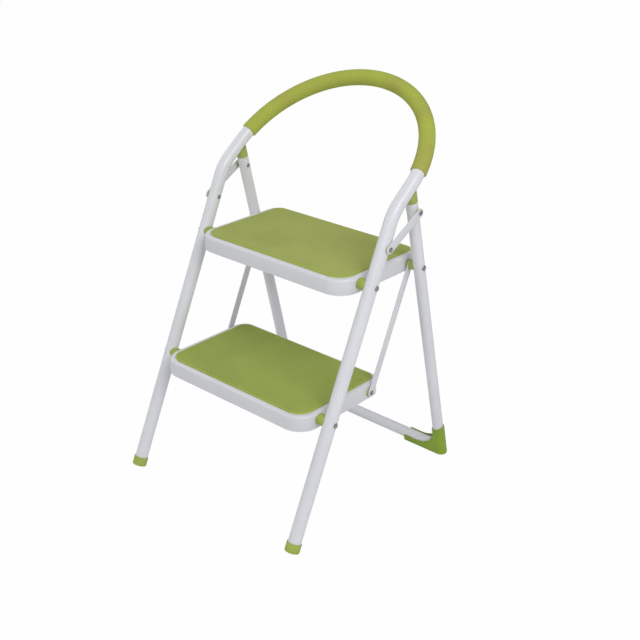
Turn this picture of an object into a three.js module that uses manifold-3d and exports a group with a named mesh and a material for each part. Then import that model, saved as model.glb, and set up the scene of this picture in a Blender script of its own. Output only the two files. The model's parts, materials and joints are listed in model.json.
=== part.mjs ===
// A folding two-step stool with a hoop handle, in millimetres: X to the right, Y to the back, Z up.
// It stands open on the floor at Z zero. The front legs and the hoop are one tube, the rear legs and
// the floor bar are another, and two pressed treads, two pairs of links and their bolts join them.

import * as THREE from 'three';
import { mergeVertices, toCreasedNormals } from 'three/addons/utils/BufferGeometryUtils.js';
import Module from 'manifold-3d';

const wasm = await Module();
wasm.setup();

// Fits and cutters
const seatGap = 0.3;
const shaftGap = 0.3;
const cutOverrun = 10;

// Places of the treads, from which the legs take their spacing and their length
const upperBoltDistance = 499.3;
const treadPitch = 251.1;
const treadWidth = 370;
const treadToFrontLegAxis = 25.8;
const treadToRearLegAxis = 25.3;
const upperBoltToHoopBend = 133.4;

// Front tube: two legs, a bend on each side and the arch of the hoop
const frontTubeDiameter = 25;
const frontTubeWall = 1.2;
const frontLegSpacing = treadWidth + 2 * treadToFrontLegAxis;
const frontLegLeanDegrees = 24.5;
const frontLegLength = upperBoltDistance + upperBoltToHoopBend;
const hoopBendRadius = 85;
const hoopLeanDegrees = 51.7;
const hoopStraightLength = 57.9;
const gripDiameter = 30.5;
const gripBoreGap = 0.35;
const gripStartDegrees = 8.4;
const frontFootDiameter = 28;
const frontFootHeight = 18;
const frontFootSole = 4;
const frontFootRounding = 2;

// Treads, measured from the bolt on which each one turns
const treadFrontReach = 46.2;
const treadRearReach = 180.3;
const treadRimHeight = 12.5;
const treadSkirtDrop = 17.4;
const treadSheet = 1.6;
const treadFrontCorner = 40;
const treadRearCorner = 28;
const treadEdgeRounding = 5;
const rearPivotReach = 140.9;
const rearPivotDrop = 4.3;
const matSideInset = 11.2;
const matFrontInset = 10;
const matRearInset = 6.5;
const matRecess = 2.3;
const matThickness = 4;
const matEdgeBevel = 0.8;

// Rear tube: two legs and the floor bar, carried on the upper tread's rear bolts
const rearTubeDiameter = 22;
const rearTubeWall = 1.2;
const rearLegSpacing = treadWidth + 2 * treadToRearLegAxis;
const rearLegLeanDegrees = 14.05;
const rearBendRadius = 42;
const rearTopAboveBrace = 18.4;
const bootWall = 1.8;
const bootSole = 3;
const bootReach = 86;
const bootRimHeight = 55.5;
const bootRimTiltDegrees = 19;
const bootCornerRounding = 5.5;
const bootLipRise = 3.5;
const bootFillet = 50;
const bootFilletReach = 8.1;
const bootScrewDiameter = 4;
const bootScrewBite = 8;
const bootScrewHeadDiameter = 8.4;
const bootScrewHeadHeight = 2.4;
const stopCapHeight = 26;
const stopCapPlug = 12;
const stopCapWing = 11.5;

// Links and braces: flat bars, washers and spacers
const bracePivotDistance = 118;
const foldedTubeGap = 2.5;
const linkWidth = 15;
const linkThickness = 2.2;
const linkWasherThickness = 3;
const linkWasherDiameter = 16.5;
const braceWidth = 16;
const braceThickness = 2.5;
const braceWasherThickness = 1.4;
const braceWasherDiameter = 15;
const braceBushDiameter = 12.5;
const frontSpacerDiameter = 21;
const rearSpacerDiameter = 19;

// Bolts, nuts and rivets
const boltDiameter = 6;
const boltHeadDiameter = 11;
const boltHeadHeight = 3;
const boltTipLength = 1.5;
const nutAcrossFlats = 10;
const nutHeight = 5;
const rivetDiameter = 5;
const rivetHeadDiameter = 10;
const rivetHeadHeight = 2.6;
const rivetTailDiameter = 8;
const rivetTailHeight = 2;

// Numbers of steps on round shapes
const tubeSides = 16;
const gripSides = 16;
const roundSides = 16;
const shaftSides = 10;
const bendSteps = 3;
const rearBendSteps = 5;
const halfArchSteps = 10;
const cornerSteps = 5;
const domeSteps = 2;
const edgeSteps = 2;
const pressSteps = 3;

const materials = {
  paintedTube: finish(0xdcdde2, 0.35, 0),
  paintedSheet: finish(0xd8d9dd, 0.38, 0),
  foam: finish(0xa8b550, 0.9, 0),
  mat: finish(0x9ca85c, 0.85, 0),
  greenPlastic: finish(0x93b545, 0.5, 0),
  zincSteel: finish(0x8f9296, 0.4, 0.8),
};

// Derived radii and half widths
const frontTubeRadius = frontTubeDiameter / 2;
const rearTubeRadius = rearTubeDiameter / 2;
const frontLegX = frontLegSpacing / 2;
const rearLegX = rearLegSpacing / 2;
const treadX = treadWidth / 2;
const boltRadius = boltDiameter / 2;
const rivetRadius = rivetDiameter / 2;
const bootRadius = rearTubeRadius + seatGap + bootWall;

// Directions in the side plane
const frontLean = THREE.MathUtils.degToRad(frontLegLeanDegrees);
const hoopLean = THREE.MathUtils.degToRad(hoopLeanDegrees);
const rearLean = THREE.MathUtils.degToRad(rearLegLeanDegrees);
const frontDirection = new THREE.Vector3(0, Math.sin(frontLean), Math.cos(frontLean));
const hoopDirection = new THREE.Vector3(0, Math.sin(hoopLean), Math.cos(hoopLean));
const rearDirection = new THREE.Vector3(0, -Math.sin(rearLean), Math.cos(rearLean));

// Pivots in the side plane: the treads turn at their front bolts, the braces at their front rivets
const treadArm = new THREE.Vector3(0, rearPivotReach, -rearPivotDrop);
const upperPivot = onFrontLeg(upperBoltDistance);
const lowerPivot = onFrontLeg(upperBoltDistance - treadPitch);
const rearPivot = upperPivot.clone().add(treadArm);
const braceRearPivot = rearPivot.clone().addScaledVector(rearDirection, bracePivotDistance);
const braceFrontPivot = onFrontLeg(upperBoltDistance + braceFrontOffset());

// The floor bar's centre, where the rear legs' centre lines come down to its height
const floorBarHeight = bootSole + rearTubeRadius;
const rearLegBelowPivot = (rearPivot.z - floorBarHeight) / rearDirection.z;
const floorBarCentre = rearPivot.clone().addScaledVector(rearDirection, -rearLegBelowPivot);
const rearLegTop = rearLegBelowPivot + bracePivotDistance + rearTopAboveBrace;

// Layers across the width, from the tread's side out to the brace
const linkWasherX = treadX + seatGap;
const linkX = linkWasherX + linkWasherThickness + seatGap;
const linkOuterX = linkX + linkThickness;
const frontTubeOuterX = frontLegX + frontTubeRadius;
const rearTubeOuterX = rearLegX + rearTubeRadius;
const braceWasherX = frontTubeOuterX + seatGap;
const braceX = braceWasherX + braceWasherThickness + seatGap;
const braceOuterX = braceX + braceThickness;
const skirtInnerX = treadX - treadSheet;
const nutX = skirtInnerX - seatGap - nutHeight;

function finish(color, roughness, metalness) {
  return new THREE.MeshStandardMaterial({ color, roughness, metalness });
}

function onFrontLeg(distance) {
  return frontDirection.clone().multiplyScalar(distance);
}

// Where the brace turns on the front leg, above the tread's bolt, so that the rear leg folds flat
// behind the front leg with the two tubes their radii and the folded gap apart.
function braceFrontOffset() {
  const standOff = frontTubeRadius + rearTubeRadius + foldedTubeGap;
  const foldedReach = Math.sqrt(treadArm.lengthSq() - standOff ** 2) - bracePivotDistance;
  const toBrace = treadArm.clone().addScaledVector(rearDirection, bracePivotDistance);
  const along = toBrace.dot(frontDirection);
  return (toBrace.lengthSq() - standOff ** 2 - foldedReach ** 2) / (2 * (foldedReach + along));
}

// A path through chosen stations, each a point and a tangent, for a tube that bends only in places.
class StationPath extends THREE.Curve {
  constructor(stations) {
    super();
    this.stations = stations;
  }

  station(share) {
    return this.stations[Math.round(share * (this.stations.length - 1))];
  }

  getPoint(share, target = new THREE.Vector3()) {
    return target.copy(this.station(share).point);
  }

  getPointAt(share, target = new THREE.Vector3()) {
    return this.getPoint(share, target);
  }

  getTangentAt(share, target = new THREE.Vector3()) {
    return target.copy(this.station(share).tangent);
  }
}

// Stations on an arc that leaves a start point along a direction and turns towards an inward one.
function arcStations(start, direction, inward, radius, angles) {
  return angles.map((angle) => ({
    point: start.clone()
      .addScaledVector(direction, radius * Math.sin(angle))
      .addScaledVector(inward, radius * (1 - Math.cos(angle))),
    tangent: direction.clone().multiplyScalar(Math.cos(angle)).addScaledVector(inward, Math.sin(angle)),
  }));
}

// Stations on the round that joins two straight runs at their corner.
function bendStations(corner, before, after, radius, steps) {
  const turn = before.angleTo(after);
  const start = corner.clone().addScaledVector(before, -radius * Math.tan(turn / 2));
  const inward = after.clone().addScaledVector(before, -Math.cos(turn)).normalize();
  return arcStations(start, before, inward, radius, evenSteps(0, turn, steps));
}

function evenSteps(first, last, steps) {
  return Array.from({ length: steps + 1 }, (unused, index) => first + ((last - first) * index) / steps);
}

// A half path, given from its left end to the middle, with its mirror image on the right.
function mirroredStations(half) {
  const otherHalf = half.slice(0, -1).reverse().map(({ point, tangent }) => ({
    point: point.clone().setX(-point.x),
    tangent: tangent.clone().setY(-tangent.y).setZ(-tangent.z),
  }));
  return [...half, ...otherHalf];
}

function circlePoints(radius, sides, centreX = 0, centreY = 0) {
  return Array.from({ length: sides }, (unused, index) => {
    const angle = (2 * Math.PI * index) / sides;
    return new THREE.Vector2(centreX + radius * Math.cos(angle), centreY + radius * Math.sin(angle));
  });
}

function ringShape(outerRadius, innerRadius, sides) {
  const shape = new THREE.Shape(circlePoints(outerRadius, sides));
  if (innerRadius > 0) {
    shape.holes.push(new THREE.Path(circlePoints(innerRadius, sides)));
  }
  return shape;
}

function tubeAlong(stations, outerRadius, innerRadius, sides) {
  const path = new StationPath(stations);
  return new THREE.ExtrudeGeometry(ringShape(outerRadius, innerRadius, sides), {
    extrudePath: path,
    steps: stations.length - 1,
  });
}

// A drawing in the side plane, its first axis along Y and its second along Z, made thick along X.
function extrudeAlongX(shape, startX, endX) {
  const geometry = new THREE.ExtrudeGeometry(shape, { depth: endX - startX, bevelEnabled: false });
  const sidePlane = new THREE.Matrix4().set(0, 0, 1, startX, 1, 0, 0, 0, 0, 1, 0, 0, 0, 0, 0, 1);
  return geometry.applyMatrix4(sidePlane);
}

function rodAlongX(radius, startX, endX, sides = shaftSides, y = 0, z = 0) {
  return extrudeAlongX(new THREE.Shape(circlePoints(radius, sides, y, z)), startX, endX);
}

// A turned piece whose profile lists radius and place along X.
function turnedAlongX(profile, sides) {
  const points = profile.map(([radius, along]) => new THREE.Vector2(radius, along));
  return new THREE.LatheGeometry(points, sides).rotateZ(-Math.PI / 2);
}

function boxAt(sizeX, sizeY, sizeZ, x, y, z) {
  return new THREE.BoxGeometry(sizeX, sizeY, sizeZ).translate(x, y, z);
}

function solidOf(geometry) {
  const bare = geometry.clone();
  bare.deleteAttribute('normal');
  bare.deleteAttribute('uv');
  const merged = mergeVertices(bare);
  const corners = Array.from(merged.index.array);
  const triVerts = [];
  for (let first = 0; first < corners.length; first += 3) {
    const [a, b, c] = corners.slice(first, first + 3);
    if (a !== b && b !== c && c !== a) {
      triVerts.push(a, b, c);
    }
  }
  const mesh = new wasm.Mesh({
    numProp: 3,
    vertProperties: new Float32Array(merged.attributes.position.array),
    triVerts: new Uint32Array(triVerts),
  });
  return new wasm.Manifold(mesh);
}

function geometryOf(solid) {
  const mesh = solid.getMesh();
  const geometry = new THREE.BufferGeometry();
  geometry.setAttribute('position', new THREE.BufferAttribute(mesh.vertProperties, 3));
  geometry.setIndex(new THREE.BufferAttribute(mesh.triVerts, 1));
  return geometry;
}

function cut(geometry, cutters) {
  const solid = cutters.reduce((rest, cutter) => rest.subtract(solidOf(cutter)), solidOf(geometry));
  return geometryOf(solid);
}

function join(geometries) {
  const [first, ...others] = geometries.map(solidOf);
  return geometryOf(others.reduce((whole, next) => whole.add(next), first));
}

// The mirror image in the middle plane, with its faces turned back outwards.
function mirrored(geometry) {
  const flat = geometry.index ? geometry.toNonIndexed() : geometry.clone();
  const { position } = flat.attributes;
  const copy = new Float32Array(position.array.length);
  const turned = [0, 2, 1];
  for (let corner = 0; corner < position.count; corner += 1) {
    const source = corner - (corner % 3) + turned[corner % 3];
    copy.set([-position.getX(source), position.getY(source), position.getZ(source)], corner * 3);
  }
  const image = new THREE.BufferGeometry();
  image.setAttribute('position', new THREE.BufferAttribute(copy, 3));
  return image;
}

function addPiece(group, name, geometry, material, position = new THREE.Vector3()) {
  const creaseAngle = Math.PI / 6;
  const mesh = new THREE.Mesh(toCreasedNormals(geometry, creaseAngle), material);
  mesh.name = name;
  mesh.position.copy(position);
  group.add(mesh);
}

function addPair(group, name, rightGeometry, material, position) {
  addPiece(group, `${name}_right`, rightGeometry, material, position);
  addPiece(group, `${name}_left`, mirrored(rightGeometry), material, position);
}

// Front frame

function frontTubeHalf() {
  const footEnd = frontTubeStart();
  const side = new THREE.Vector3(-frontLegX, 0, 0);
  const corner = onFrontLeg(frontLegLength).add(side);
  const bend = bendStations(corner, frontDirection, hoopDirection, hoopBendRadius, bendSteps);
  const archStart = corner.clone().addScaledVector(hoopDirection, hoopStraightLength);
  const gripStart = THREE.MathUtils.degToRad(gripStartDegrees);
  const archAngles = [0, ...evenSteps(gripStart, Math.PI / 2, halfArchSteps)];
  const inward = new THREE.Vector3(1, 0, 0);
  return {
    leg: [{ point: onFrontLeg(footEnd).add(side), tangent: frontDirection }],
    bend,
    arch: arcStations(archStart, hoopDirection, inward, frontLegX, archAngles),
  };
}

// The foot's sole touches the floor at the low edge of its rounded rim.
function frontFootStart() {
  const flatRadius = frontFootDiameter / 2 - frontFootRounding;
  const rise = frontFootRounding + flatRadius * Math.sin(frontLean);
  return rise / Math.cos(frontLean) - frontFootRounding;
}

function frontTubeStart() {
  return frontFootStart() + frontFootSole + seatGap;
}

function frontHoopTube() {
  const { leg, bend, arch } = frontTubeHalf();
  const stations = mirroredStations([...leg, ...bend, ...arch]);
  const innerRadius = frontTubeRadius - frontTubeWall;
  const tube = tubeAlong(stations, frontTubeRadius, innerRadius, tubeSides);
  const holes = [
    [boltRadius, upperPivot],
    [boltRadius, lowerPivot],
    [rivetRadius, braceFrontPivot],
  ].map(([radius, { y, z }]) => {
    const reach = frontTubeOuterX + cutOverrun;
    return rodAlongX(radius + shaftGap, -reach, reach, shaftSides, y, z);
  });
  return cut(tube, holes);
}

function hoopGrip() {
  const { arch } = frontTubeHalf();
  const stations = mirroredStations(arch.slice(1));
  return tubeAlong(stations, gripDiameter / 2, frontTubeRadius + gripBoreGap, gripSides);
}

// A cup foot, turned about its own Y axis, with the sole at zero. The rim touches the floor at one
// of its profile's corners, where the leg's lean turns it lowest.
function frontFoot() {
  const outer = frontFootDiameter / 2;
  const inner = frontTubeRadius + seatGap;
  const rimAngles = [-Math.PI / 2, ...evenSteps(frontLean - Math.PI / 2, 0, edgeSteps)];
  const rim = rimAngles.map((angle) => new THREE.Vector2(
    outer - frontFootRounding + frontFootRounding * Math.cos(angle),
    frontFootRounding + frontFootRounding * Math.sin(angle),
  ));
  const profile = [
    new THREE.Vector2(0, 0),
    ...rim,
    new THREE.Vector2(outer, frontFootHeight),
    new THREE.Vector2(inner, frontFootHeight),
    new THREE.Vector2(inner, frontFootSole),
    new THREE.Vector2(0, frontFootSole),
  ];
  return new THREE.LatheGeometry(profile, tubeSides);
}

// A spacer between a flat face and a leg: its outer end is hollowed to sit on the tube.
function saddleSpacer(diameter, startX, legX, tubeRadius, lean) {
  const body = rodAlongX(diameter / 2, startX, legX, roundSides);
  const reach = diameter + cutOverrun;
  const tube = new THREE.CylinderGeometry(tubeRadius + seatGap, tubeRadius + seatGap, 2 * reach, tubeSides)
    .rotateX(Math.PI / 2 - lean)
    .translate(legX, 0, 0);
  const bore = rodAlongX(boltRadius + shaftGap, startX - cutOverrun, legX + cutOverrun);
  return cut(body, [tube, bore]);
}

function domeProfile(radius, seat, height) {
  return evenSteps(0, Math.PI / 2, domeSteps).map((angle) => {
    const atTop = angle === Math.PI / 2;
    return [atTop ? 0 : radius * Math.cos(angle), seat + height * Math.sin(angle)];
  });
}

// A bolt with a domed head outside the leg and its tip inside the tread's skirt.
function pivotBolt(headSeatX) {
  const tipX = nutX - boltTipLength;
  return turnedAlongX([
    [0, tipX],
    [boltRadius, tipX],
    [boltRadius, headSeatX],
    ...domeProfile(boltHeadDiameter / 2, headSeatX, boltHeadHeight),
  ], roundSides);
}

function hexNut() {
  const corner = nutAcrossFlats / Math.sqrt(3);
  const shape = new THREE.Shape(circlePoints(corner, 6));
  shape.holes.push(new THREE.Path(circlePoints(boltRadius + shaftGap, shaftSides)));
  return extrudeAlongX(shape, nutX, nutX + nutHeight);
}

// A rivet from a domed tail to a domed head. Without a head it ends flat.
function rivet(tailSeatX, headSeatX, withHead = true) {
  const tail = domeProfile(rivetTailDiameter / 2, -tailSeatX, rivetTailHeight)
    .reverse()
    .map(([radius, along]) => [radius, -along]);
  const head = withHead ? domeProfile(rivetHeadDiameter / 2, headSeatX, rivetHeadHeight) : [[0, headSeatX]];
  return turnedAlongX([...tail, [rivetRadius, tailSeatX], [rivetRadius, headSeatX], ...head], shaftSides);
}

// A rivet's headed end, where the link that it holds ends before the tube.
function rivetStub(endX, headSeatX) {
  const head = domeProfile(rivetHeadDiameter / 2, headSeatX, rivetHeadHeight);
  return turnedAlongX([[0, endX], [rivetRadius, endX], [rivetRadius, headSeatX], ...head], shaftSides);
}

function washer(startX, thickness, diameter, shaftRadius) {
  return extrudeAlongX(ringShape(diameter / 2, shaftRadius + shaftGap, roundSides), startX, startX + thickness);
}

function buildFrontFrame() {
  const group = new THREE.Group();
  addPiece(group, 'front_hoop_tube', frontHoopTube(), materials.paintedTube);
  addPiece(group, 'hoop_grip', hoopGrip(), materials.foam);
  const spacerX = treadX + seatGap;
  const spacer = saddleSpacer(frontSpacerDiameter, spacerX, frontLegX, frontTubeRadius, frontLean);
  const bolt = pivotBolt(frontTubeOuterX + seatGap);
  for (const [level, pivot] of [['upper', upperPivot], ['lower', lowerPivot]]) {
    addPair(group, `${level}_front_spacer`, spacer, materials.greenPlastic, pivot);
    addPair(group, `${level}_front_bolt`, bolt, materials.zincSteel, pivot);
    addPair(group, `${level}_front_nut`, hexNut(), materials.zincSteel, pivot);
  }
  const tailSeatX = frontLegX - frontTubeRadius - seatGap;
  const braceRivet = rivet(tailSeatX, braceOuterX + seatGap);
  addPair(group, 'brace_front_rivet', braceRivet, materials.zincSteel, braceFrontPivot);
  const foot = frontFoot().rotateX(Math.PI / 2 - frontLean).translate(frontLegX, 0, 0);
  addPair(group, 'front_foot', foot, materials.greenPlastic, onFrontLeg(frontFootStart()));
  return group;
}

// Rear frame, in its own plane: X across, Y up along the legs from the floor bar, Z to the front

function rearTubeHalf() {
  const down = new THREE.Vector3(0, -1, 0);
  const inward = new THREE.Vector3(1, 0, 0);
  const corner = new THREE.Vector3(-rearLegX, 0, 0);
  const bend = bendStations(corner, down, inward, rearBendRadius, rearBendSteps);
  const top = { point: new THREE.Vector3(-rearLegX, rearLegTop, 0), tangent: down };
  return [top, ...bend, { point: new THREE.Vector3(), tangent: inward }];
}

function rearTubeStations() {
  return mirroredStations(rearTubeHalf());
}

// The direction from the bend's centre out through the corner, and the bend's centre itself.
function rearCornerFrame() {
  const centre = new THREE.Vector3(rearLegX - rearBendRadius, rearBendRadius, 0);
  const outward = new THREE.Vector3(1, -1, 0).normalize();
  return { centre, outward };
}

function alongCorner(geometry, radius) {
  const { centre, outward } = rearCornerFrame();
  const turn = Math.atan2(outward.y, outward.x);
  return geometry.rotateZ(turn).translate(
    centre.x + outward.x * radius,
    centre.y + outward.y * radius,
    0,
  );
}

function bootScrewBore() {
  const length = 2 * rearTubeDiameter + bootScrewBite;
  const radius = bootScrewDiameter / 2 + shaftGap;
  return alongCorner(rodAlongX(radius, -length / 2, length / 2), rearBendRadius);
}

// The screw's flat head bridges the hollow side of the bend, which rises under its edge.
function bootScrew() {
  const headRadius = bootScrewHeadDiameter / 2;
  const hollowRadius = rearBendRadius - rearTubeRadius;
  const edgeRise = hollowRadius - Math.sqrt(hollowRadius ** 2 - headRadius ** 2);
  const innerFace = -rearTubeRadius - edgeRise - 2 * seatGap;
  const tip = rearTubeRadius + bootScrewBite;
  const head = domeProfile(headRadius, -innerFace, bootScrewHeadHeight)
    .reverse()
    .map(([radius, along]) => [radius, -along]);
  const shaftRadius = bootScrewDiameter / 2;
  const screw = turnedAlongX([...head, [shaftRadius, innerFace], [shaftRadius, tip], [0, tip]], shaftSides);
  return alongCorner(screw, rearBendRadius);
}

function rearTube() {
  const innerRadius = rearTubeRadius - rearTubeWall;
  const tube = tubeAlong(rearTubeStations(), rearTubeRadius, innerRadius, tubeSides);
  const reach = rearTubeOuterX + cutOverrun;
  const boltHole = rodAlongX(boltRadius + shaftGap, -reach, reach, shaftSides, rearLegBelowPivot);
  const bracePlace = rearLegBelowPivot + bracePivotDistance;
  const tailHole = rodAlongX(rivetRadius + shaftGap, -reach, reach, shaftSides, bracePlace);
  return cut(tube, [boltHole, tailHole, bootScrewBore(), mirrored(bootScrewBore())]);
}

// The boot's gusset, drawn across the leg's plane: a lip along the floor bar, then a round up to the
// sleeve.
function bootGusset() {
  const bottom = bootBottom();
  const filletX = rearLegX - bootRadius + bootFilletReach - bootFillet;
  const filletY = bootLipRise + bootFillet;
  const shape = new THREE.Shape();
  shape.moveTo(rearLegX - bootReach, bottom);
  shape.lineTo(rearLegX, bottom);
  shape.lineTo(rearLegX, filletY);
  shape.lineTo(filletX + bootFillet, filletY);
  shape.absarc(filletX, filletY, bootFillet, 0, -Math.PI / 2, true);
  shape.lineTo(rearLegX - bootReach, bootLipRise);
  const options = { depth: 2 * bootRadius, bevelEnabled: false, curveSegments: cornerSteps };
  return new THREE.ExtrudeGeometry(shape, options).translate(0, 0, -bootRadius);
}

// The boot's lowest place along the leg, before the floor cuts it level.
function bootBottom() {
  return -(floorBarHeight + bootRadius * Math.sin(rearLean)) / Math.cos(rearLean);
}

function bootSleeve() {
  const bottom = bootBottom();
  const flatRadius = bootRadius - bootCornerRounding;
  const rim = evenSteps(-Math.PI / 2, 0, cornerSteps).map((angle) => new THREE.Vector2(
    flatRadius + bootCornerRounding * Math.cos(angle),
    bottom + bootCornerRounding + bootCornerRounding * Math.sin(angle),
  ));
  const top = bootRimHeight + bootRadius;
  const profile = [
    new THREE.Vector2(0, bottom),
    ...rim,
    new THREE.Vector2(bootRadius, top),
    new THREE.Vector2(0, top),
  ];
  return new THREE.LatheGeometry(profile, tubeSides).translate(rearLegX, 0, 0);
}

// The space above the floor bar and inside its bend, from which the tube is laid into the boot.
function bootMouth() {
  const halfWidth = rearTubeRadius + seatGap;
  const shape = new THREE.Shape();
  const startX = rearLegX - bootReach - cutOverrun;
  shape.moveTo(startX, 0);
  shape.lineTo(rearLegX - rearBendRadius, 0);
  shape.absarc(rearLegX - rearBendRadius, rearBendRadius, rearBendRadius, -Math.PI / 2, 0, false);
  shape.lineTo(startX, rearBendRadius);
  const options = { depth: 2 * halfWidth, bevelEnabled: false, curveSegments: cornerSteps };
  return new THREE.ExtrudeGeometry(shape, options).translate(0, 0, -halfWidth);
}

function bootRimCutter() {
  const size = 2 * bootRimHeight;
  return new THREE.BoxGeometry(size, size, size)
    .translate(0, size / 2, 0)
    .rotateZ(THREE.MathUtils.degToRad(bootRimTiltDegrees))
    .translate(rearLegX, bootRimHeight, 0);
}

function rearBoot(rearPlane) {
  const body = join([bootSleeve(), bootGusset()]);
  const tube = tubeAlong(rearTubeStations(), rearTubeRadius + seatGap, 0, tubeSides);
  const floorSize = rearLegSpacing;
  const floor = boxAt(2 * floorSize, floorSize, floorSize, 0, 0, -floorSize / 2)
    .translate(0, floorBarCentre.y, 0)
    .applyMatrix4(rearPlane.clone().invert());
  return cut(body, [bootRimCutter(), tube, bootMouth(), bootScrewBore(), floor]);
}

// The plug in a rear leg's top: its head is hollowed where it rests against the hoop tube.
function rearStopCap(rearPlane) {
  const plugRadius = rearTubeRadius - rearTubeWall - seatGap;
  const profile = [
    new THREE.Vector2(0, -stopCapPlug),
    new THREE.Vector2(plugRadius, -stopCapPlug),
    new THREE.Vector2(plugRadius, seatGap),
    new THREE.Vector2(rearTubeRadius, seatGap),
    new THREE.Vector2(rearTubeRadius, stopCapHeight),
    new THREE.Vector2(0, stopCapHeight),
  ];
  const cap = new THREE.LatheGeometry(profile, tubeSides).translate(rearLegX, rearLegTop, 0);
  const { bend, arch } = frontTubeHalf();
  const nearStations = [...bend.slice(-2), ...arch.slice(0, 2)];
  const seat = mirrored(tubeAlong(nearStations, frontTubeRadius + seatGap, 0, tubeSides));
  const size = 2 * frontTubeDiameter + 2 * stopCapHeight;
  const beyond = boxAt(size, size, size, 0, -size / 2 + stopCapWing, size / 2)
    .rotateX(-hoopLean)
    .translate(frontLegX, 0, 0)
    .translate(0, onFrontLeg(frontLegLength).y, onFrontLeg(frontLegLength).z);
  const toPlane = rearPlane.clone().invert();
  return cut(cap, [seat.applyMatrix4(toPlane), beyond.applyMatrix4(toPlane)]);
}

function buildRearFrame() {
  const group = new THREE.Group();
  group.position.copy(floorBarCentre);
  group.rotation.x = Math.PI / 2 + rearLean;
  group.updateMatrix();
  const pivot = new THREE.Vector3(0, rearLegBelowPivot, 0);
  const bracePlace = new THREE.Vector3(0, rearLegBelowPivot + bracePivotDistance, 0);
  addPiece(group, 'rear_tube', rearTube(), materials.paintedTube);
  addPair(group, 'rear_boot', rearBoot(group.matrix), materials.greenPlastic);
  addPair(group, 'boot_screw', bootScrew(), materials.zincSteel);
  addPair(group, 'rear_stop_cap', rearStopCap(group.matrix), materials.greenPlastic);
  const spacerX = linkOuterX + seatGap;
  const upright = Math.PI / 2;
  const spacer = saddleSpacer(rearSpacerDiameter, spacerX, rearLegX, rearTubeRadius, upright);
  addPair(group, 'rear_spacer', spacer, materials.greenPlastic, pivot);
  addPair(group, 'rear_bolt', pivotBolt(rearTubeOuterX + seatGap), materials.zincSteel, pivot);
  addPair(group, 'rear_nut', hexNut(), materials.zincSteel, pivot);
  const tail = rivet(rearLegX - rearTubeRadius - seatGap, rearTubeOuterX, false);
  addPair(group, 'brace_rear_tail', tail, materials.zincSteel, bracePlace);
  return group;
}

// Treads, each in its own frame with the front bolt's axis at zero

function treadOutline(sideInset, frontInset, rearInset) {
  const x = treadX - sideInset;
  const front = -treadFrontReach + frontInset;
  const back = treadRearReach - rearInset;
  const frontRadius = treadFrontCorner - (sideInset + frontInset) / 2;
  const backRadius = treadRearCorner - (sideInset + rearInset) / 2;
  const shape = new THREE.Shape();
  shape.absarc(x - frontRadius, front + frontRadius, frontRadius, -Math.PI / 2, 0, false);
  shape.absarc(x - backRadius, back - backRadius, backRadius, 0, Math.PI / 2, false);
  shape.absarc(backRadius - x, back - backRadius, backRadius, Math.PI / 2, Math.PI, false);
  shape.absarc(frontRadius - x, front + frontRadius, frontRadius, Math.PI, 1.5 * Math.PI, false);
  return shape;
}

// The mat's seat, or what lies that much further out around it.
function seatSlab(margin, bottom, top) {
  const outline = treadOutline(matSideInset - margin, matFrontInset - margin, matRearInset - margin);
  const options = { depth: top - bottom, bevelEnabled: false, curveSegments: cornerSteps };
  return new THREE.ExtrudeGeometry(outline, options).translate(0, 0, bottom);
}

// A slab with round edges, from its bottom to its top.
function roundedSlab(outline, bottom, top, rounding, steps) {
  return new THREE.ExtrudeGeometry(outline, {
    depth: top - bottom - 2 * rounding,
    bevelThickness: rounding,
    bevelSize: rounding,
    bevelOffset: -rounding,
    bevelSegments: steps,
    curveSegments: cornerSteps,
  }).translate(0, 0, bottom + rounding);
}

// A pressed tray turned upside down: a round edge, a skirt open below and a shallow seat for the mat.
function treadPan() {
  const seat = treadRimHeight - matRecess;
  const belowSkirt = -treadSkirtDrop - treadEdgeRounding - cutOverrun;
  const outline = treadOutline(0, 0, 0);
  const outside = roundedSlab(outline, belowSkirt, treadRimHeight, treadEdgeRounding, pressSteps);
  const innerOutline = treadOutline(treadSheet, treadSheet, treadSheet);
  const innerTop = treadRimHeight - treadSheet;
  const hollow = roundedSlab(innerOutline, belowSkirt, innerTop, treadEdgeRounding - treadSheet, edgeSteps);
  const seatUnderside = seatSlab(seatGap + treadSheet, seat - treadSheet, treadRimHeight);
  const belowCut = boxAt(2 * treadWidth, 2 * treadWidth, 2 * treadWidth, 0, 0, -treadSkirtDrop - treadWidth);
  const recess = seatSlab(seatGap, seat, treadRimHeight + cutOverrun);
  const reach = treadX + cutOverrun;
  const holeRadius = boltRadius + shaftGap;
  const frontHole = rodAlongX(holeRadius, -reach, reach);
  const rearHole = rodAlongX(holeRadius, -reach, reach, shaftSides, rearPivotReach, -rearPivotDrop);
  return cut(outside, [cut(hollow, [seatUnderside]), belowCut, recess, frontHole, rearHole]);
}

function treadMat() {
  const bottom = treadRimHeight - matRecess + seatGap;
  const outline = treadOutline(matSideInset, matFrontInset, matRearInset);
  return roundedSlab(outline, bottom, bottom + matThickness, matEdgeBevel, 1);
}

function buildTread(level, pivot) {
  const group = new THREE.Group();
  group.position.copy(pivot);
  addPiece(group, `${level}_tread_pan`, treadPan(), materials.paintedSheet);
  addPiece(group, `${level}_tread_mat`, treadMat(), materials.mat);
  const shaftRadius = level === 'upper' ? boltRadius : rivetRadius;
  const ring = washer(linkWasherX, linkWasherThickness, linkWasherDiameter, shaftRadius);
  addPair(group, `${level}_link_washer`, ring, materials.greenPlastic, treadArm);
  return group;
}

// Flat bars with round ends, from one pivot to the other

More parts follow.
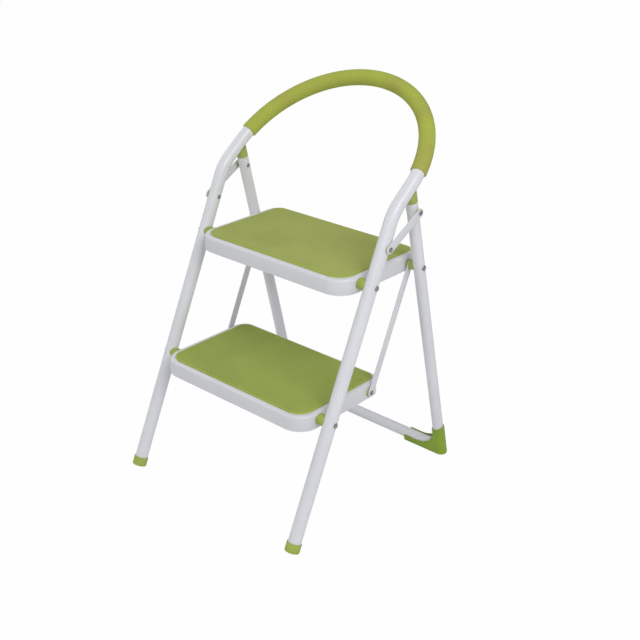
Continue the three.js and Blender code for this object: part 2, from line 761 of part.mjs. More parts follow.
function barBetween(from, to, width, startX, thickness, fromShaft, toShaft) {
  const radius = width / 2;
  const angle = Math.atan2(to.z - from.z, to.y - from.y);
  const length = from.distanceTo(to);
  const shape = new THREE.Shape();
  shape.absarc(0, 0, radius, Math.PI / 2, 1.5 * Math.PI, false);
  shape.absarc(length, 0, radius, -Math.PI / 2, Math.PI / 2, false);
  const fromHole = circlePoints(fromShaft + shaftGap, shaftSides);
  const toHole = circlePoints(toShaft + shaftGap, shaftSides, length);
  shape.holes.push(new THREE.Path(fromHole), new THREE.Path(toHole));
  const options = { depth: thickness, bevelEnabled: false, curveSegments: cornerSteps };
  const sidePlane = new THREE.Matrix4().set(0, 0, 1, startX, 1, 0, 0, 0, 0, 1, 0, 0, 0, 0, 0, 1);
  return new THREE.ExtrudeGeometry(shape, options).rotateZ(angle).applyMatrix4(sidePlane);
}

function buildLinks() {
  const group = new THREE.Group();
  const lowerRearPivot = lowerPivot.clone().add(treadArm);
  const link = barBetween(rearPivot, lowerRearPivot, linkWidth, linkX, linkThickness, boltRadius, rivetRadius);
  addPair(group, 'connecting_link', link, materials.paintedSheet, rearPivot);
  const linkRivet = rivet(skirtInnerX - seatGap, linkOuterX + seatGap);
  addPair(group, 'lower_link_rivet', linkRivet, materials.zincSteel, lowerRearPivot);

  const brace = barBetween(
    braceFrontPivot, braceRearPivot, braceWidth, braceX, braceThickness, rivetRadius, rivetRadius,
  );
  addPair(group, 'brace', brace, materials.paintedSheet, braceFrontPivot);
  const frontWasher = washer(braceWasherX, braceWasherThickness, braceWasherDiameter, rivetRadius);
  addPair(group, 'brace_front_washer', frontWasher, materials.greenPlastic, braceFrontPivot);
  const rearWasherX = rearTubeOuterX + seatGap;
  const bush = washer(rearWasherX, braceX - seatGap - rearWasherX, braceBushDiameter, rivetRadius);
  addPair(group, 'brace_rear_washer', bush, materials.greenPlastic, braceRearPivot);
  const stub = rivetStub(rearWasherX, braceOuterX + seatGap);
  addPair(group, 'brace_rear_rivet', stub, materials.zincSteel, braceRearPivot);
  return group;
}

function buildStool() {
  const stool = new THREE.Group();
  stool.add(buildFrontFrame());
  stool.add(buildRearFrame());
  stool.add(buildTread('upper', upperPivot));
  stool.add(buildTread('lower', lowerPivot));
  stool.add(buildLinks());
  const box = new THREE.Box3().setFromObject(stool, true);
  stool.position.y = -(box.min.y + box.max.y) / 2;
  return stool;
}

export default buildStool();
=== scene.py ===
"""The folding step stool's looks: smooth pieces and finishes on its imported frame, in metres."""

import json
import logging
from dataclasses import dataclass, field
from enum import Enum
from math import asin, cos, pi, radians, sin, tan

import bmesh
import bpy
from bmesh.types import BMEdge, BMFace, BMVert
from bpy.types import ID, Material, NodeSocket, Object, ShaderNode, World
from mathutils import Color, Matrix, Vector


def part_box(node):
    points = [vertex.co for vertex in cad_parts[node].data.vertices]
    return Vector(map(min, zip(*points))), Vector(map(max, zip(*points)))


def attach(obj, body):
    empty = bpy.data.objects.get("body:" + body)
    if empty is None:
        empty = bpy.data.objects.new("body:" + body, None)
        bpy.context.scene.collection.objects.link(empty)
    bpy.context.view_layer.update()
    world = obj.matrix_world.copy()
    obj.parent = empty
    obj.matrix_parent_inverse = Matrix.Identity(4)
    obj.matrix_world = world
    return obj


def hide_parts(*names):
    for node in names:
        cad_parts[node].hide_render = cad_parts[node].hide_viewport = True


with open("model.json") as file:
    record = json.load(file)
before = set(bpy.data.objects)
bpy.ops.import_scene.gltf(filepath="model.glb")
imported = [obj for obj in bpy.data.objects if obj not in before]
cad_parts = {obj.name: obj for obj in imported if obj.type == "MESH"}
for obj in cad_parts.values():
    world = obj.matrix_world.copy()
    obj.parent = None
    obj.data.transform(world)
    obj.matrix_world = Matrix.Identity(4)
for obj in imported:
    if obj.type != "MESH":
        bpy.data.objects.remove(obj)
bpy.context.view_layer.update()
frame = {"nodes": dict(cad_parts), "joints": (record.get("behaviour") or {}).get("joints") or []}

LOG = logging.getLogger("stool")

X_AXIS = Vector((1.0, 0.0, 0.0))
Y_AXIS = Vector((0.0, 1.0, 0.0))
Z_AXIS = Vector((0.0, 0.0, 1.0))
QUARTER = pi / 2
WHITE = (1.0, 1.0, 1.0, 1.0)
MERGE_DISTANCE = 1e-6
ROUND_STEPS = 48
FINE_STEPS = 64
BENT_EDGE = radians(40)
SQUARE_EDGE = radians(60)
FLAT_EDGE = radians(1)
LEVEL_NORMAL = 0.99
SMOOTH_SHARE = 0.5

Points = list[tuple[float, float]]
Tint = tuple[int, int, int]
Cloud = tuple[float, ...]
Band = tuple[float, float]


class Side(Enum):
    """The stool's two sides, with the sign of X on each."""

    RIGHT = 1
    LEFT = -1

    @property
    def word(self) -> str:
        """The side's name in a node's name."""
        return self.name.lower()

    @property
    def outward(self) -> Vector:
        """The direction away from the stool's middle."""
        return X_AXIS * self.value


class Level(Enum):
    """The two treads."""

    UPPER = "upper"
    LOWER = "lower"


class Change(Enum):
    """What a moulded piece's tool does to it."""

    JOIN = "UNION"
    CUT = "DIFFERENCE"


def fan(start: float, end: float, steps: int) -> list[float]:
    """Evenly spaced values from a start to an end, both of them included."""
    return [start + (end - start) * index / steps for index in range(steps + 1)]


def arc(centre: tuple[float, float], radius: float, start: float, end: float, steps: int) -> Points:
    """Points on an arc, for an outline.

    Args:
        centre: The arc's centre.
        radius: Its radius.
        start: Its first angle.
        end: Its last angle.
        steps: Its number of steps.

    Returns:
        The points.
    """
    x, y = centre
    return [(x + radius * cos(turn), y + radius * sin(turn)) for turn in fan(start, end, steps)]


def stand(name: str, data: ID) -> Object:
    """Puts an object into the scene.

    Args:
        name: Its name.
        data: Its mesh, lamp or camera.

    Returns:
        The object.
    """
    made = bpy.data.objects.new(name, data)
    bpy.context.scene.collection.objects.link(made)
    return made


def settle(piece: Object) -> None:
    """Applies an object's modifiers.

    Args:
        piece: The object.
    """
    graph = bpy.context.evaluated_depsgraph_get()
    mesh = bpy.data.meshes.new_from_object(piece.evaluated_get(graph))
    piece.modifiers.clear()
    piece.data = mesh


def linear(tint: Tint) -> list[float]:
    """A tint as a shader needs it, from a tint as a screen shows it, from 0 to 255."""
    return [*Color([share / 255 for share in tint]).from_srgb_to_scene_linear(), 1.0]


class Shade:
    """A number that varies over a surface: a node's output socket, with Python's arithmetic."""

    def __init__(self, graph: "Graph", socket: NodeSocket) -> None:
        """Wraps the socket that carries the number."""
        self.graph = graph
        self.socket = socket

    def _join(self, operation: str, first: "Shade | float", second: "Shade | float") -> "Shade":
        """Adds a Math node and gives its result."""
        node = self.graph.node("ShaderNodeMath", {"operation": operation}, {0: first, 1: second})
        return Shade(self.graph, node.outputs[0])

    def __add__(self, other: "Shade | float") -> "Shade":
        """Adds a value."""
        return self._join("ADD", self, other)

    def __mul__(self, other: "Shade | float") -> "Shade":
        """Multiplies by a value."""
        return self._join("MULTIPLY", self, other)

    def __radd__(self, other: float) -> "Shade":
        """Adds to a value on the left."""
        return self._join("ADD", other, self)

    def __rmul__(self, other: float) -> "Shade":
        """Multiplies a value on the left."""
        return self._join("MULTIPLY", other, self)

    def between(self, low: float, high: float) -> "Shade":
        """Stretches and clamps the value so that low becomes 0 and high becomes 1."""
        values = {"Value": self, "From Min": low, "From Max": high}
        return Shade(self.graph, self.graph.node("ShaderNodeMapRange", {"clamp": True}, values).outputs[0])


class Graph:
    """The nodes of a material or of the world."""

    def __init__(self, owner: Material | World) -> None:
        """Starts the owner's nodes."""
        owner.use_nodes = True
        self.owner, self.tree = owner, owner.node_tree

    def node(self, kind: str, settings: dict[str, object], inputs: dict[str | int, object]) -> ShaderNode:
        """Adds a node.

        Args:
            kind: The node's type.
            settings: Its properties, which are set first.
            inputs: Its sockets' values, or what feeds them.

        Returns:
            The node.
        """
        made = self.tree.nodes.new(kind)
        for key, value in settings.items():
            setattr(made, key, value)
        for key, value in inputs.items():
            self.feed(made.inputs[key], value)
        return made

    def feed(self, socket: NodeSocket, value: object) -> None:
        """Sets or links one input.

        Args:
            socket: The input.
            value: A number, a colour, a socket or a shade.
        """
        source = value.socket if isinstance(value, Shade) else value
        if isinstance(source, NodeSocket):
            self.tree.links.new(source, socket)
        else:
            socket.default_value = source

    def shade(self, values: dict[str, object]) -> Material:
        """Sets the sockets of the material's own shader.

        Args:
            values: Each socket's name and its value or source.

        Returns:
            The material.
        """
        for key, value in values.items():
            self.feed(self.tree.nodes["Principled BSDF"].inputs[key], value)
        return self.owner

    def place(self) -> NodeSocket:
        """The place on the piece, in its object's own coordinates."""
        return self.node("ShaderNodeTexCoord", {}, {}).outputs["Object"]

    def noise(self, scale: float, detail: float = 2.0, roughness: float = 0.5) -> Shade:
        """A cloudy pattern from 0 to 1, of so many features per metre, in so many octaves."""
        inputs = {"Vector": self.place(), "Scale": scale, "Detail": detail, "Roughness": roughness}
        return Shade(self, self.node("ShaderNodeTexNoise", {}, inputs).outputs[0])

    def cells(self, scale: float) -> Shade:
        """The distance to the nearest of a pattern's grains, of which so many lie in a metre."""
        inputs = {"Vector": self.place(), "Scale": scale}
        return Shade(self, self.node("ShaderNodeTexVoronoi", {}, inputs).outputs["Distance"])

    def tint(self, share: Shade | float, low: Tint | NodeSocket, high: Tint) -> NodeSocket:
        """Mixes two tints.

        Args:
            share: How much of the second tint shows.
            low: The first tint, or the socket that carries it.
            high: The second tint.

        Returns:
            The mixed tint.
        """
        made = self.node("ShaderNodeMix", {"data_type": "RGBA"}, {"Factor": share})
        first, second = (item for item in made.inputs if item.type == "RGBA")
        self.feed(first, low if isinstance(low, NodeSocket) else linear(low))
        self.feed(second, linear(high))
        return next(item for item in made.outputs if item.type == "RGBA")

    def bump(self, height: Shade, distance: float) -> NodeSocket:
        """The normal of a surface that a pattern raises by up to a distance, in metres."""
        inputs = {"Height": height, "Distance": distance, "Strength": 1.0}
        return self.node("ShaderNodeBump", {}, inputs).outputs[0]

    def whiten(self, base: NodeSocket, kind: str, share: Shade | NodeSocket, output: str) -> None:
        """Lays plain white over a shader and shows the two.

        Args:
            base: The shader's output.
            kind: The white shader's type.
            share: How much of the white shows.
            output: The name of the node that shows them.
        """
        white = self.node(kind, {}, {"Color": WHITE, "Strength": 1.0})
        mixed = self.node("ShaderNodeMixShader", {}, {0: share, 1: base, 2: white.outputs[0]})
        self.feed(self.tree.nodes[output].inputs["Surface"], mixed.outputs[0])


@dataclass(frozen=True)
class SkinFinish:
    """A hard skin in two tints that drift into each other, with a fine relief.

    A cloud is given by its features per metre and its octaves.
    """

    name: str
    base: Tint
    second: Tint
    patches: Cloud
    band: Band
    roughness: float
    roughness_spread: float
    satin: Cloud
    relief: Cloud
    relief_height: float
    metal: float = 0.0
    specular: float = 0.5
    coat: float = 0.0
    coat_roughness: float = 0.03

    def build(self) -> Material:
        """Makes the material.

        Returns:
            The material.
        """
        graph = Graph(bpy.data.materials.new(self.name))
        patches = graph.noise(*self.patches).between(*self.band)
        return graph.shade({
            "Base Color": graph.tint(patches, self.base, self.second),
            "Metallic": self.metal,
            "Roughness": self.roughness + self.roughness_spread * graph.noise(*self.satin),
            "Specular IOR Level": self.specular,
            "Coat Weight": self.coat,
            "Coat Roughness": self.coat_roughness,
            "Normal": graph.bump(graph.noise(*self.relief), self.relief_height),
        })


@dataclass(frozen=True)
class PaintFinish(SkinFinish):
    """Off-white powder coat, with the faint waviness that such a coat dries to."""

    patches: Cloud = (9.0, 3.0)
    band: Band = (0.3, 0.7)
    roughness: float = 0.34
    roughness_spread: float = 0.08
    satin: Cloud = (105.0, 2.0)
    relief: Cloud = (420.0, 1.0)
    relief_height: float = 0.000012
    coat: float = 0.4
    coat_roughness: float = 0.18


@dataclass(frozen=True)
class PlasticFinish(SkinFinish):
    """Moulded plastic with a satin, finely eroded skin."""

    patches: Cloud = (22.0, 2.0)
    band: Band = (0.3, 0.72)
    roughness: float = 0.46
    roughness_spread: float = 0.12
    satin: Cloud = (1400.0, 2.0)
    relief: Cloud = (1400.0, 2.0)
    relief_height: float = 0.00005
    specular: float = 0.42


@dataclass(frozen=True)
class ZincFinish(SkinFinish):
    """Dull zinc plate, a little mottled."""

    patches: Cloud = (380.0, 3.0)
    band: Band = (0.35, 0.7)
    roughness: float = 0.2
    roughness_spread: float = 0.15
    satin: Cloud = (380.0, 3.0)
    relief: Cloud = (380.0, 3.0)
    relief_height: float = 0.00003
    metal: float = 0.95


@dataclass(frozen=True)
class FoamFinish:
    """Closed-cell foam: a matt skin of tiny cells, in slowly drifting tints."""

    name: str
    base: Tint
    bright: Tint
    dull: Tint
    evenness: float = 0.35
    roughness: float = 0.86
    roughness_spread: float = 0.1
    specular: float = 0.25
    cell_scale: float = 1500.0
    cell_share: float = 0.6
    cell_height: float = 0.00018
    grain: Cloud = (500.0, 3.0, 0.6)
    grain_share: float = 0.8
    grain_band: Band = (0.3, 0.72)
    grain_tint: float = 0.45
    drift: Cloud = (14.0, 1.0)
    drift_band: Band = (0.35, 0.68)
    drift_tint: float = 0.55

    def build(self) -> Material:
        """Makes the material.

        Returns:
            The material.
        """
        graph = Graph(bpy.data.materials.new(self.name))
        grain = graph.noise(*self.grain)
        drift = graph.noise(*self.drift).between(*self.drift_band)
        speckle = self.drift_tint * drift + self.grain_tint * grain.between(*self.grain_band)
        mottled = graph.tint(speckle, self.dull, self.bright)
        height = self.cell_share * graph.cells(self.cell_scale) + self.grain_share * grain
        return graph.shade({
            "Base Color": graph.tint(self.evenness, mottled, self.base),
            "Roughness": self.roughness + self.roughness_spread * grain,
            "Specular IOR Level": self.specular,
            "Normal": graph.bump(height, self.cell_height),
        })


@dataclass(frozen=True)
class MatFinish:
    """A moulded anti-slip mat: a grained top in speckled tints."""

    name: str
    base: Tint
    speck: Tint
    roughness: float = 0.82
    roughness_spread: float = 0.1
    specular: float = 0.3
    grain: Cloud = (950.0, 2.0, 0.55)
    grain_band: Band = (0.34, 0.7)
    grain_tint: float = 0.6
    grain_height: float = 0.0002
    pore_scale: float = 475.0
    pore_share: float = 0.5
    patches: Cloud = (16.0, 2.0)
    patch_band: Band = (0.35, 0.7)
    patch_tint: float = 0.4

    def build(self) -> Material:
        """Makes the material.

        Returns:
            The material.
        """
        graph = Graph(bpy.data.materials.new(self.name))
        grain = graph.noise(*self.grain)
        patches = graph.noise(*self.patches).between(*self.patch_band)
        share = self.grain_tint * grain.between(*self.grain_band) + self.patch_tint * patches
        height = grain + self.pore_share * graph.cells(self.pore_scale)
        return graph.shade({
            "Base Color": graph.tint(share, self.base, self.speck),
            "Roughness": self.roughness + self.roughness_spread * grain,
            "Specular IOR Level": self.specular,
            "Normal": graph.bump(height, self.grain_height),
        })


class Coat(Enum):
    """Every coat on the stool: the record's slot that it belongs to, and its finish."""

    TUBE = "painted_tube", PaintFinish("tube_paint", (230, 231, 235), (224, 225, 230))
    SHEET = "painted_sheet", PaintFinish("sheet_paint", (226, 227, 231), (220, 221, 226))
    FOAM = "grip_foam", FoamFinish("grip_foam", (176, 184, 84), (182, 204, 74), (168, 160, 86))
    # The two mats are one material: the upper copy's lighter tints are painted light, the lower copy's
    # darker tints are painted shade.
    UPPER_MAT = "tread_mat", MatFinish("mat_top", (178, 187, 101), (158, 169, 89))
    LOWER_MAT = "tread_mat", MatFinish("lower_mat_top", (167, 182, 90), (148, 165, 78))
    # The mat's bead and sides get a lighter, yellower tint: a painted highlight where the round edge
    # catches light.
    MAT_EDGE = "tread_mat", MatFinish(
        "mat_edge", (178, 189, 84), (162, 175, 76), roughness=0.6, grain_height=0.00008
    )
    BOOT = "green_plastic", PlasticFinish("green_plastic", (147, 176, 52), (133, 162, 42))
    OLIVE = "green_plastic", PlasticFinish("olive_plastic", (176, 187, 96), (160, 170, 84))
    CUP = "green_plastic", PlasticFinish("foot_plastic", (168, 188, 84), (150, 171, 72))
    ZINC = "zinc_steel", ZincFinish("zinc_plate", (172, 174, 178), (104, 106, 110))

    def __init__(self, slot: str, finish: SkinFinish | FoamFinish | MatFinish) -> None:
        """Takes the coat's slot and finish."""
        self.slot, self.finish = slot, finish


@dataclass(frozen=True)
class Bend:
    """An arc in a tube's path: its centre, its axis by the right-hand rule, its turn and its steps."""

    centre: Vector
    axis: Vector
    angle: float
    steps: int


class Work:
    """A piece in the making: a bmesh in the stool's frame, shaped by operators."""

    def __init__(self) -> None:
        """Starts an empty mesh."""
        self.bm = bmesh.new()

    @classmethod
    def cube(cls, size: float, matrix: Matrix) -> "Work":
        """Makes a cube.

        Args:
            size: Its side.
            matrix: Its place.

        Returns:
            The work.
        """
        work = cls()
        bmesh.ops.create_cube(work.bm, size=size, matrix=matrix)
        return work

    @classmethod
    def tube(cls, radius: float, start: Vector, moves: list[Vector | Bend]) -> "Work":
        """Runs a round section along a path and closes its ends.

        Args:
            radius: The section's radius.
            start: Where its centre line begins.
            moves: The straight runs and the bends, of which the first is straight.

        Returns:
            The work.
        """
        work = cls()
        ring = work.ring(radius, start, moves[0])
        work.close(ring)
        for move in moves:
            ring = work.bend(ring, move) if isinstance(move, Bend) else work.straight(ring, move)
        work.close(ring)
        work.face_outwards()
        return work

    @classmethod
    def turned(cls, profile: Points, base: Vector, axis: Vector, steps: int = ROUND_STEPS) -> "Work":
        """Turns a profile, which lists radius and distance along the axis, into a solid.

        Args:
            profile: The profile, from the axis to the axis, or closed on itself.
            base: The place of distance zero on the axis.
            axis: The axis's direction.
            steps: The number of steps round it.

        Returns:
            The work.
        """
        work = cls()
        verts = [work.bm.verts.new((radius, 0.0, along)) for radius, along in profile]
        edges = [work.bm.edges.new(pair) for pair in zip(verts, verts[1:])]
        bmesh.ops.spin(
            work.bm, geom=verts + edges, cent=(0, 0, 0), axis=Z_AXIS, angle=2 * pi,
            steps=steps, use_merge=True, use_duplicate=False,
        )
        bmesh.ops.remove_doubles(work.bm, verts=work.bm.verts, dist=MERGE_DISTANCE)
        work.move(Matrix.Translation(base) @ axis.to_track_quat("Z", "Y").to_matrix().to_4x4())
        work.face_outwards()
        return work

    @classmethod
    def block(cls, corners: Points, low: float, high: float) -> "Work":
        """A flat outline that is made thick along Z.

        Args:
            corners: The outline's corners.
            low: Where the thickness begins.
            high: Where it ends.

        Returns:
            The work.
        """
        work = cls()
        face = work.bm.faces.new([work.bm.verts.new((x, y, low)) for x, y in corners])
        work.lift(face, high - low)
        work.face_outwards()
        return work

    @classmethod
    def plate(cls, start: Vector, end: Vector, width: float, thickness: float) -> "Work":
        """A flat bar with round ends, which grows along X from its two ends' points.

        Args:
            start: The middle of one round end, on the inner face.
            end: The middle of the other.
            width: The bar's width.
            thickness: Its thickness, negative where it grows to the left.

        Returns:
            The work.
        """
        work = cls()
        for centre in (start, end):
            work.straight(work.ring(width / 2, centre, X_AXIS), X_AXIS * thickness)
        bmesh.ops.delete(work.bm, geom=list(work.bm.edges), context="EDGES_FACES")
        bmesh.ops.convex_hull(work.bm, input=work.bm.verts)
        bmesh.ops.dissolve_limit(
            work.bm, angle_limit=FLAT_EDGE, verts=work.bm.verts, edges=work.bm.edges
        )
        work.face_outwards()
        return work

    def face_outwards(self) -> None:
        """Turns every face outwards."""
        bmesh.ops.recalc_face_normals(self.bm, faces=self.bm.faces)
        self.bm.normal_update()

    def move(self, matrix: Matrix) -> None:
        """Moves the whole work by a matrix."""
        bmesh.ops.transform(self.bm, matrix=matrix, verts=self.bm.verts)

    def lift(self, face: BMFace, height: float) -> None:
        """Extrudes a face along Z by a height."""
        self._shift(bmesh.ops.extrude_face_region(self.bm, geom=[face]), Z_AXIS * height)

    def ring(self, radius: float, centre: Vector, direction: Vector) -> list[BMEdge]:
        """Draws a circle.

        Args:
            radius: Its radius.
            centre: Its centre.
            direction: Its axis.

        Returns:
            Its edges.
        """
        matrix = Matrix.Translation(centre) @ direction.to_track_quat("Z", "Y").to_matrix().to_4x4()
        made = bmesh.ops.create_circle(
            self.bm, cap_ends=False, segments=ROUND_STEPS, radius=radius, matrix=matrix
        )
        return self._edges_among(made["verts"])

    def _edges_among(self, items: list[BMVert | BMEdge | BMFace]) -> list[BMEdge]:
        """The edges that join the vertices among the given items to each other.

        Args:
            items: The items.

        Returns:
            The edges, in the same order at each run.
        """
        verts = dict.fromkeys(item for item in items if isinstance(item, BMVert))
        edges = dict.fromkeys(edge for vert in verts for edge in vert.link_edges)
        return [edge for edge in edges if verts.keys() >= set(edge.verts)]

    def _verts_of(self, edges: list[BMEdge]) -> list[BMVert]:
        """The vertices of the given edges, in the same order at each run."""
        return list(dict.fromkeys(vert for edge in edges for vert in edge.verts))

    def straight(self, edges: list[BMEdge], offset: Vector) -> list[BMEdge]:
        """Pulls a ring along a straight line and gives the ring at its far end."""
        made = bmesh.ops.extrude_edge_only(self.bm, edges=edges)
        return self._edges_among(self._shift(made, offset))

    def bend(self, edges: list[BMEdge], bend: Bend) -> list[BMEdge]:
        """Pulls a ring round an arc.

        Args:
            edges: The ring.
            bend: The arc.

        Returns:
            The ring at the far end.
        """
        made = bmesh.ops.spin(
            self.bm, geom=edges + self._verts_of(edges), cent=bend.centre, axis=bend.axis,
            angle=bend.angle, steps=bend.steps, use_merge=False, use_duplicate=False,
        )
        return self._edges_among(made["geom_last"])

    def widen(self, edges: list[BMEdge], factor: float) -> None:
        """Scales a ring about its own centre.

        Args:
            edges: The ring.
            factor: How much wider it becomes.
        """
        verts = self._verts_of(edges)
        centre = sum((vert.co for vert in verts), Vector()) / len(verts)
        bmesh.ops.scale(self.bm, vec=(factor,) * 3, verts=verts, space=Matrix.Translation(-centre))

    def close(self, edges: list[BMEdge]) -> None:
        """Fills a ring with a face."""
        bmesh.ops.edgeloop_fill(self.bm, edges=edges)

    def soften(self, offset: float, segments: int, sharper_than: float = BENT_EDGE) -> None:
        """Rounds every edge that turns more sharply than an angle, by an offset in some segments."""
        seams = [edge for edge in self.bm.edges if len(edge.link_faces) == 2]
        self.round_edges([e for e in seams if e.calc_face_angle() > sharper_than], offset, segments)

    def round_edges(self, edges: list[BMEdge], offset: float, segments: int) -> None:
        """Rounds chosen edges.

        Args:
            edges: The edges.
            offset: How far the rounding reaches from them.
            segments: Its number of steps.
        """
        bmesh.ops.bevel(
            self.bm, geom=edges, offset=offset, offset_type="OFFSET", segments=segments,
            profile=0.5, affect="EDGES", material=-1, clamp_overlap=True,
        )

    def mirrored(self) -> "Work":
        """Copies the work to the stool's other side.

        Returns:
            The copy.
        """
        other = Work()
        other.bm = self.bm.copy()
        bmesh.ops.scale(other.bm, vec=(-1, 1, 1), verts=other.bm.verts)
        bmesh.ops.reverse_faces(other.bm, faces=other.bm.faces)
        return other

    def object(self, name: str) -> Object:
        """Turns the bmesh into a mesh object and frees it.

        Args:
            name: The object's name.

        Returns:
            The object.
        """
        mesh = bpy.data.meshes.new(name)
        self.bm.to_mesh(mesh)
        self.bm.free()
        return stand(name, mesh)

    def _shift(self, made: dict[str, list], offset: Vector) -> list[BMVert]:
        """Moves the vertices that an extrusion made.

        Args:
            made: What the extrusion gave back.
            offset: How far they go.

        Returns:
            The vertices.
        """
        verts = [item for item in made["geom"] if isinstance(item, BMVert)]
        bmesh.ops.translate(self.bm, verts=verts, vec=offset)
        return verts


def cast(body: Work, tools: list[tuple[Change, Work]], voxel: float, rounds: int) -> Work:
    """Joins and cuts a moulded piece, rebuilds it evenly and rounds its edges.

    Args:
        body: The piece before its changes, which is used up.
        tools: What changes it, in order. They are used up.
        voxel: The size of the new faces.
        rounds: How often it is smoothed.

    Returns:
        The moulded work.
    """
    piece = body.object("casting")
    for change, tool in tools:
        other = tool.object("tool")
        modifier = piece.modifiers.new("change", "BOOLEAN")
        modifier.object, modifier.operation, modifier.solver = other, change.value, "EXACT"
        settle(piece)
        bpy.data.objects.remove(other)
    modifier = piece.modifiers.new("even", "REMESH")
    modifier.mode, modifier.voxel_size = "VOXEL", voxel
    settle(piece)
    work = Work()
    work.bm.from_mesh(piece.data)
    bpy.data.objects.remove(piece)
    for _ in range(rounds):
        bmesh.ops.smooth_vert(
            work.bm, verts=work.bm.verts, factor=SMOOTH_SHARE,
            use_axis_x=True, use_axis_y=True, use_axis_z=True,
        )
    return work


@dataclass(frozen=True)
class Piece:
    """What a piece is called, the node that it stands for and the body that it rides on.

    One of a pair also has its side, which its name and its node end in, and the place of its axis
    in the middle plane.
    """

    name: str
    node: str
    body: str
    side: Side | None = None
    pivot: Vector | None = None


@dataclass
class Bench:
    """Where finished pieces are dressed and put on their bodies."""

    crease: float = radians(32)
    materials: dict[Coat, Material] = field(
        default_factory=lambda: {coat: coat.finish.build() for coat in Coat}
    )

    def finish(self, work: Work, piece: Piece, *coats: Coat) -> Object:
        """Turns a work into a dressed piece that stands for its node.

        Args:
            work: The work, which is used up.
            piece: What it becomes.
            coats: Its coats, in the order of the faces' material numbers.

        Returns:
            The object.
        """
        end = f"_{piece.side.word}" if piece.side else ""
        made = work.object(piece.name + end)
        for coat in coats:
            made.data.materials.append(self.materials[coat])
        made.data.shade_smooth()
        made.data.set_sharp_from_angle(angle=self.crease)
        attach(made, piece.body)
        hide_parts(piece.node + end)
        LOG.info("%s: %d faces, on %s", made.name, len(made.data.polygons), piece.body)
        return made

    def keep(self, node: str, coat: Coat) -> None:
        """Gives a node that stays its finish.

        Args:
            node: The node.
            coat: Its coat.
        """
        mesh = frame["nodes"][node].data
        mesh.materials.clear()
        mesh.materials.append(self.materials[coat])
        LOG.info("%s keeps its solid", node)


class Lines:
    """The stool's pivots and centre lines in its middle plane, read from the frame."""

    def __init__(self) -> None:
        """Reads the pivots and works out the legs' directions."""
        places = {joint["name"]: joint["pos_m"] for joint in frame["joints"]}
        self.upper_pivot = self.in_middle(places["upper_step_fold"])
        self.lower_pivot = self.in_middle(places["lower_step_fold"])
        self.rear_pivot = self.in_middle(places["rear_frame_fold"])
        self.brace_front = self.in_middle(places["right_brace_turn"])
        self.link_lower = self.lower_pivot + self.rear_pivot - self.upper_pivot
        low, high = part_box("brace_rear_washer_right")
        self.brace_rear = self.in_middle((low + high) / 2)
        self.front_up = (self.upper_pivot - self.lower_pivot).normalized()
        self.rear_up = (self.brace_rear - self.rear_pivot).normalized()
        self.front_floor = self.upper_pivot - self.front_up * (self.upper_pivot.z / self.front_up.z)

    def in_middle(self, place: Vector | list[float]) -> Vector:
        """A place moved to the stool's middle plane."""
        return Vector((0.0, place[1], place[2]))


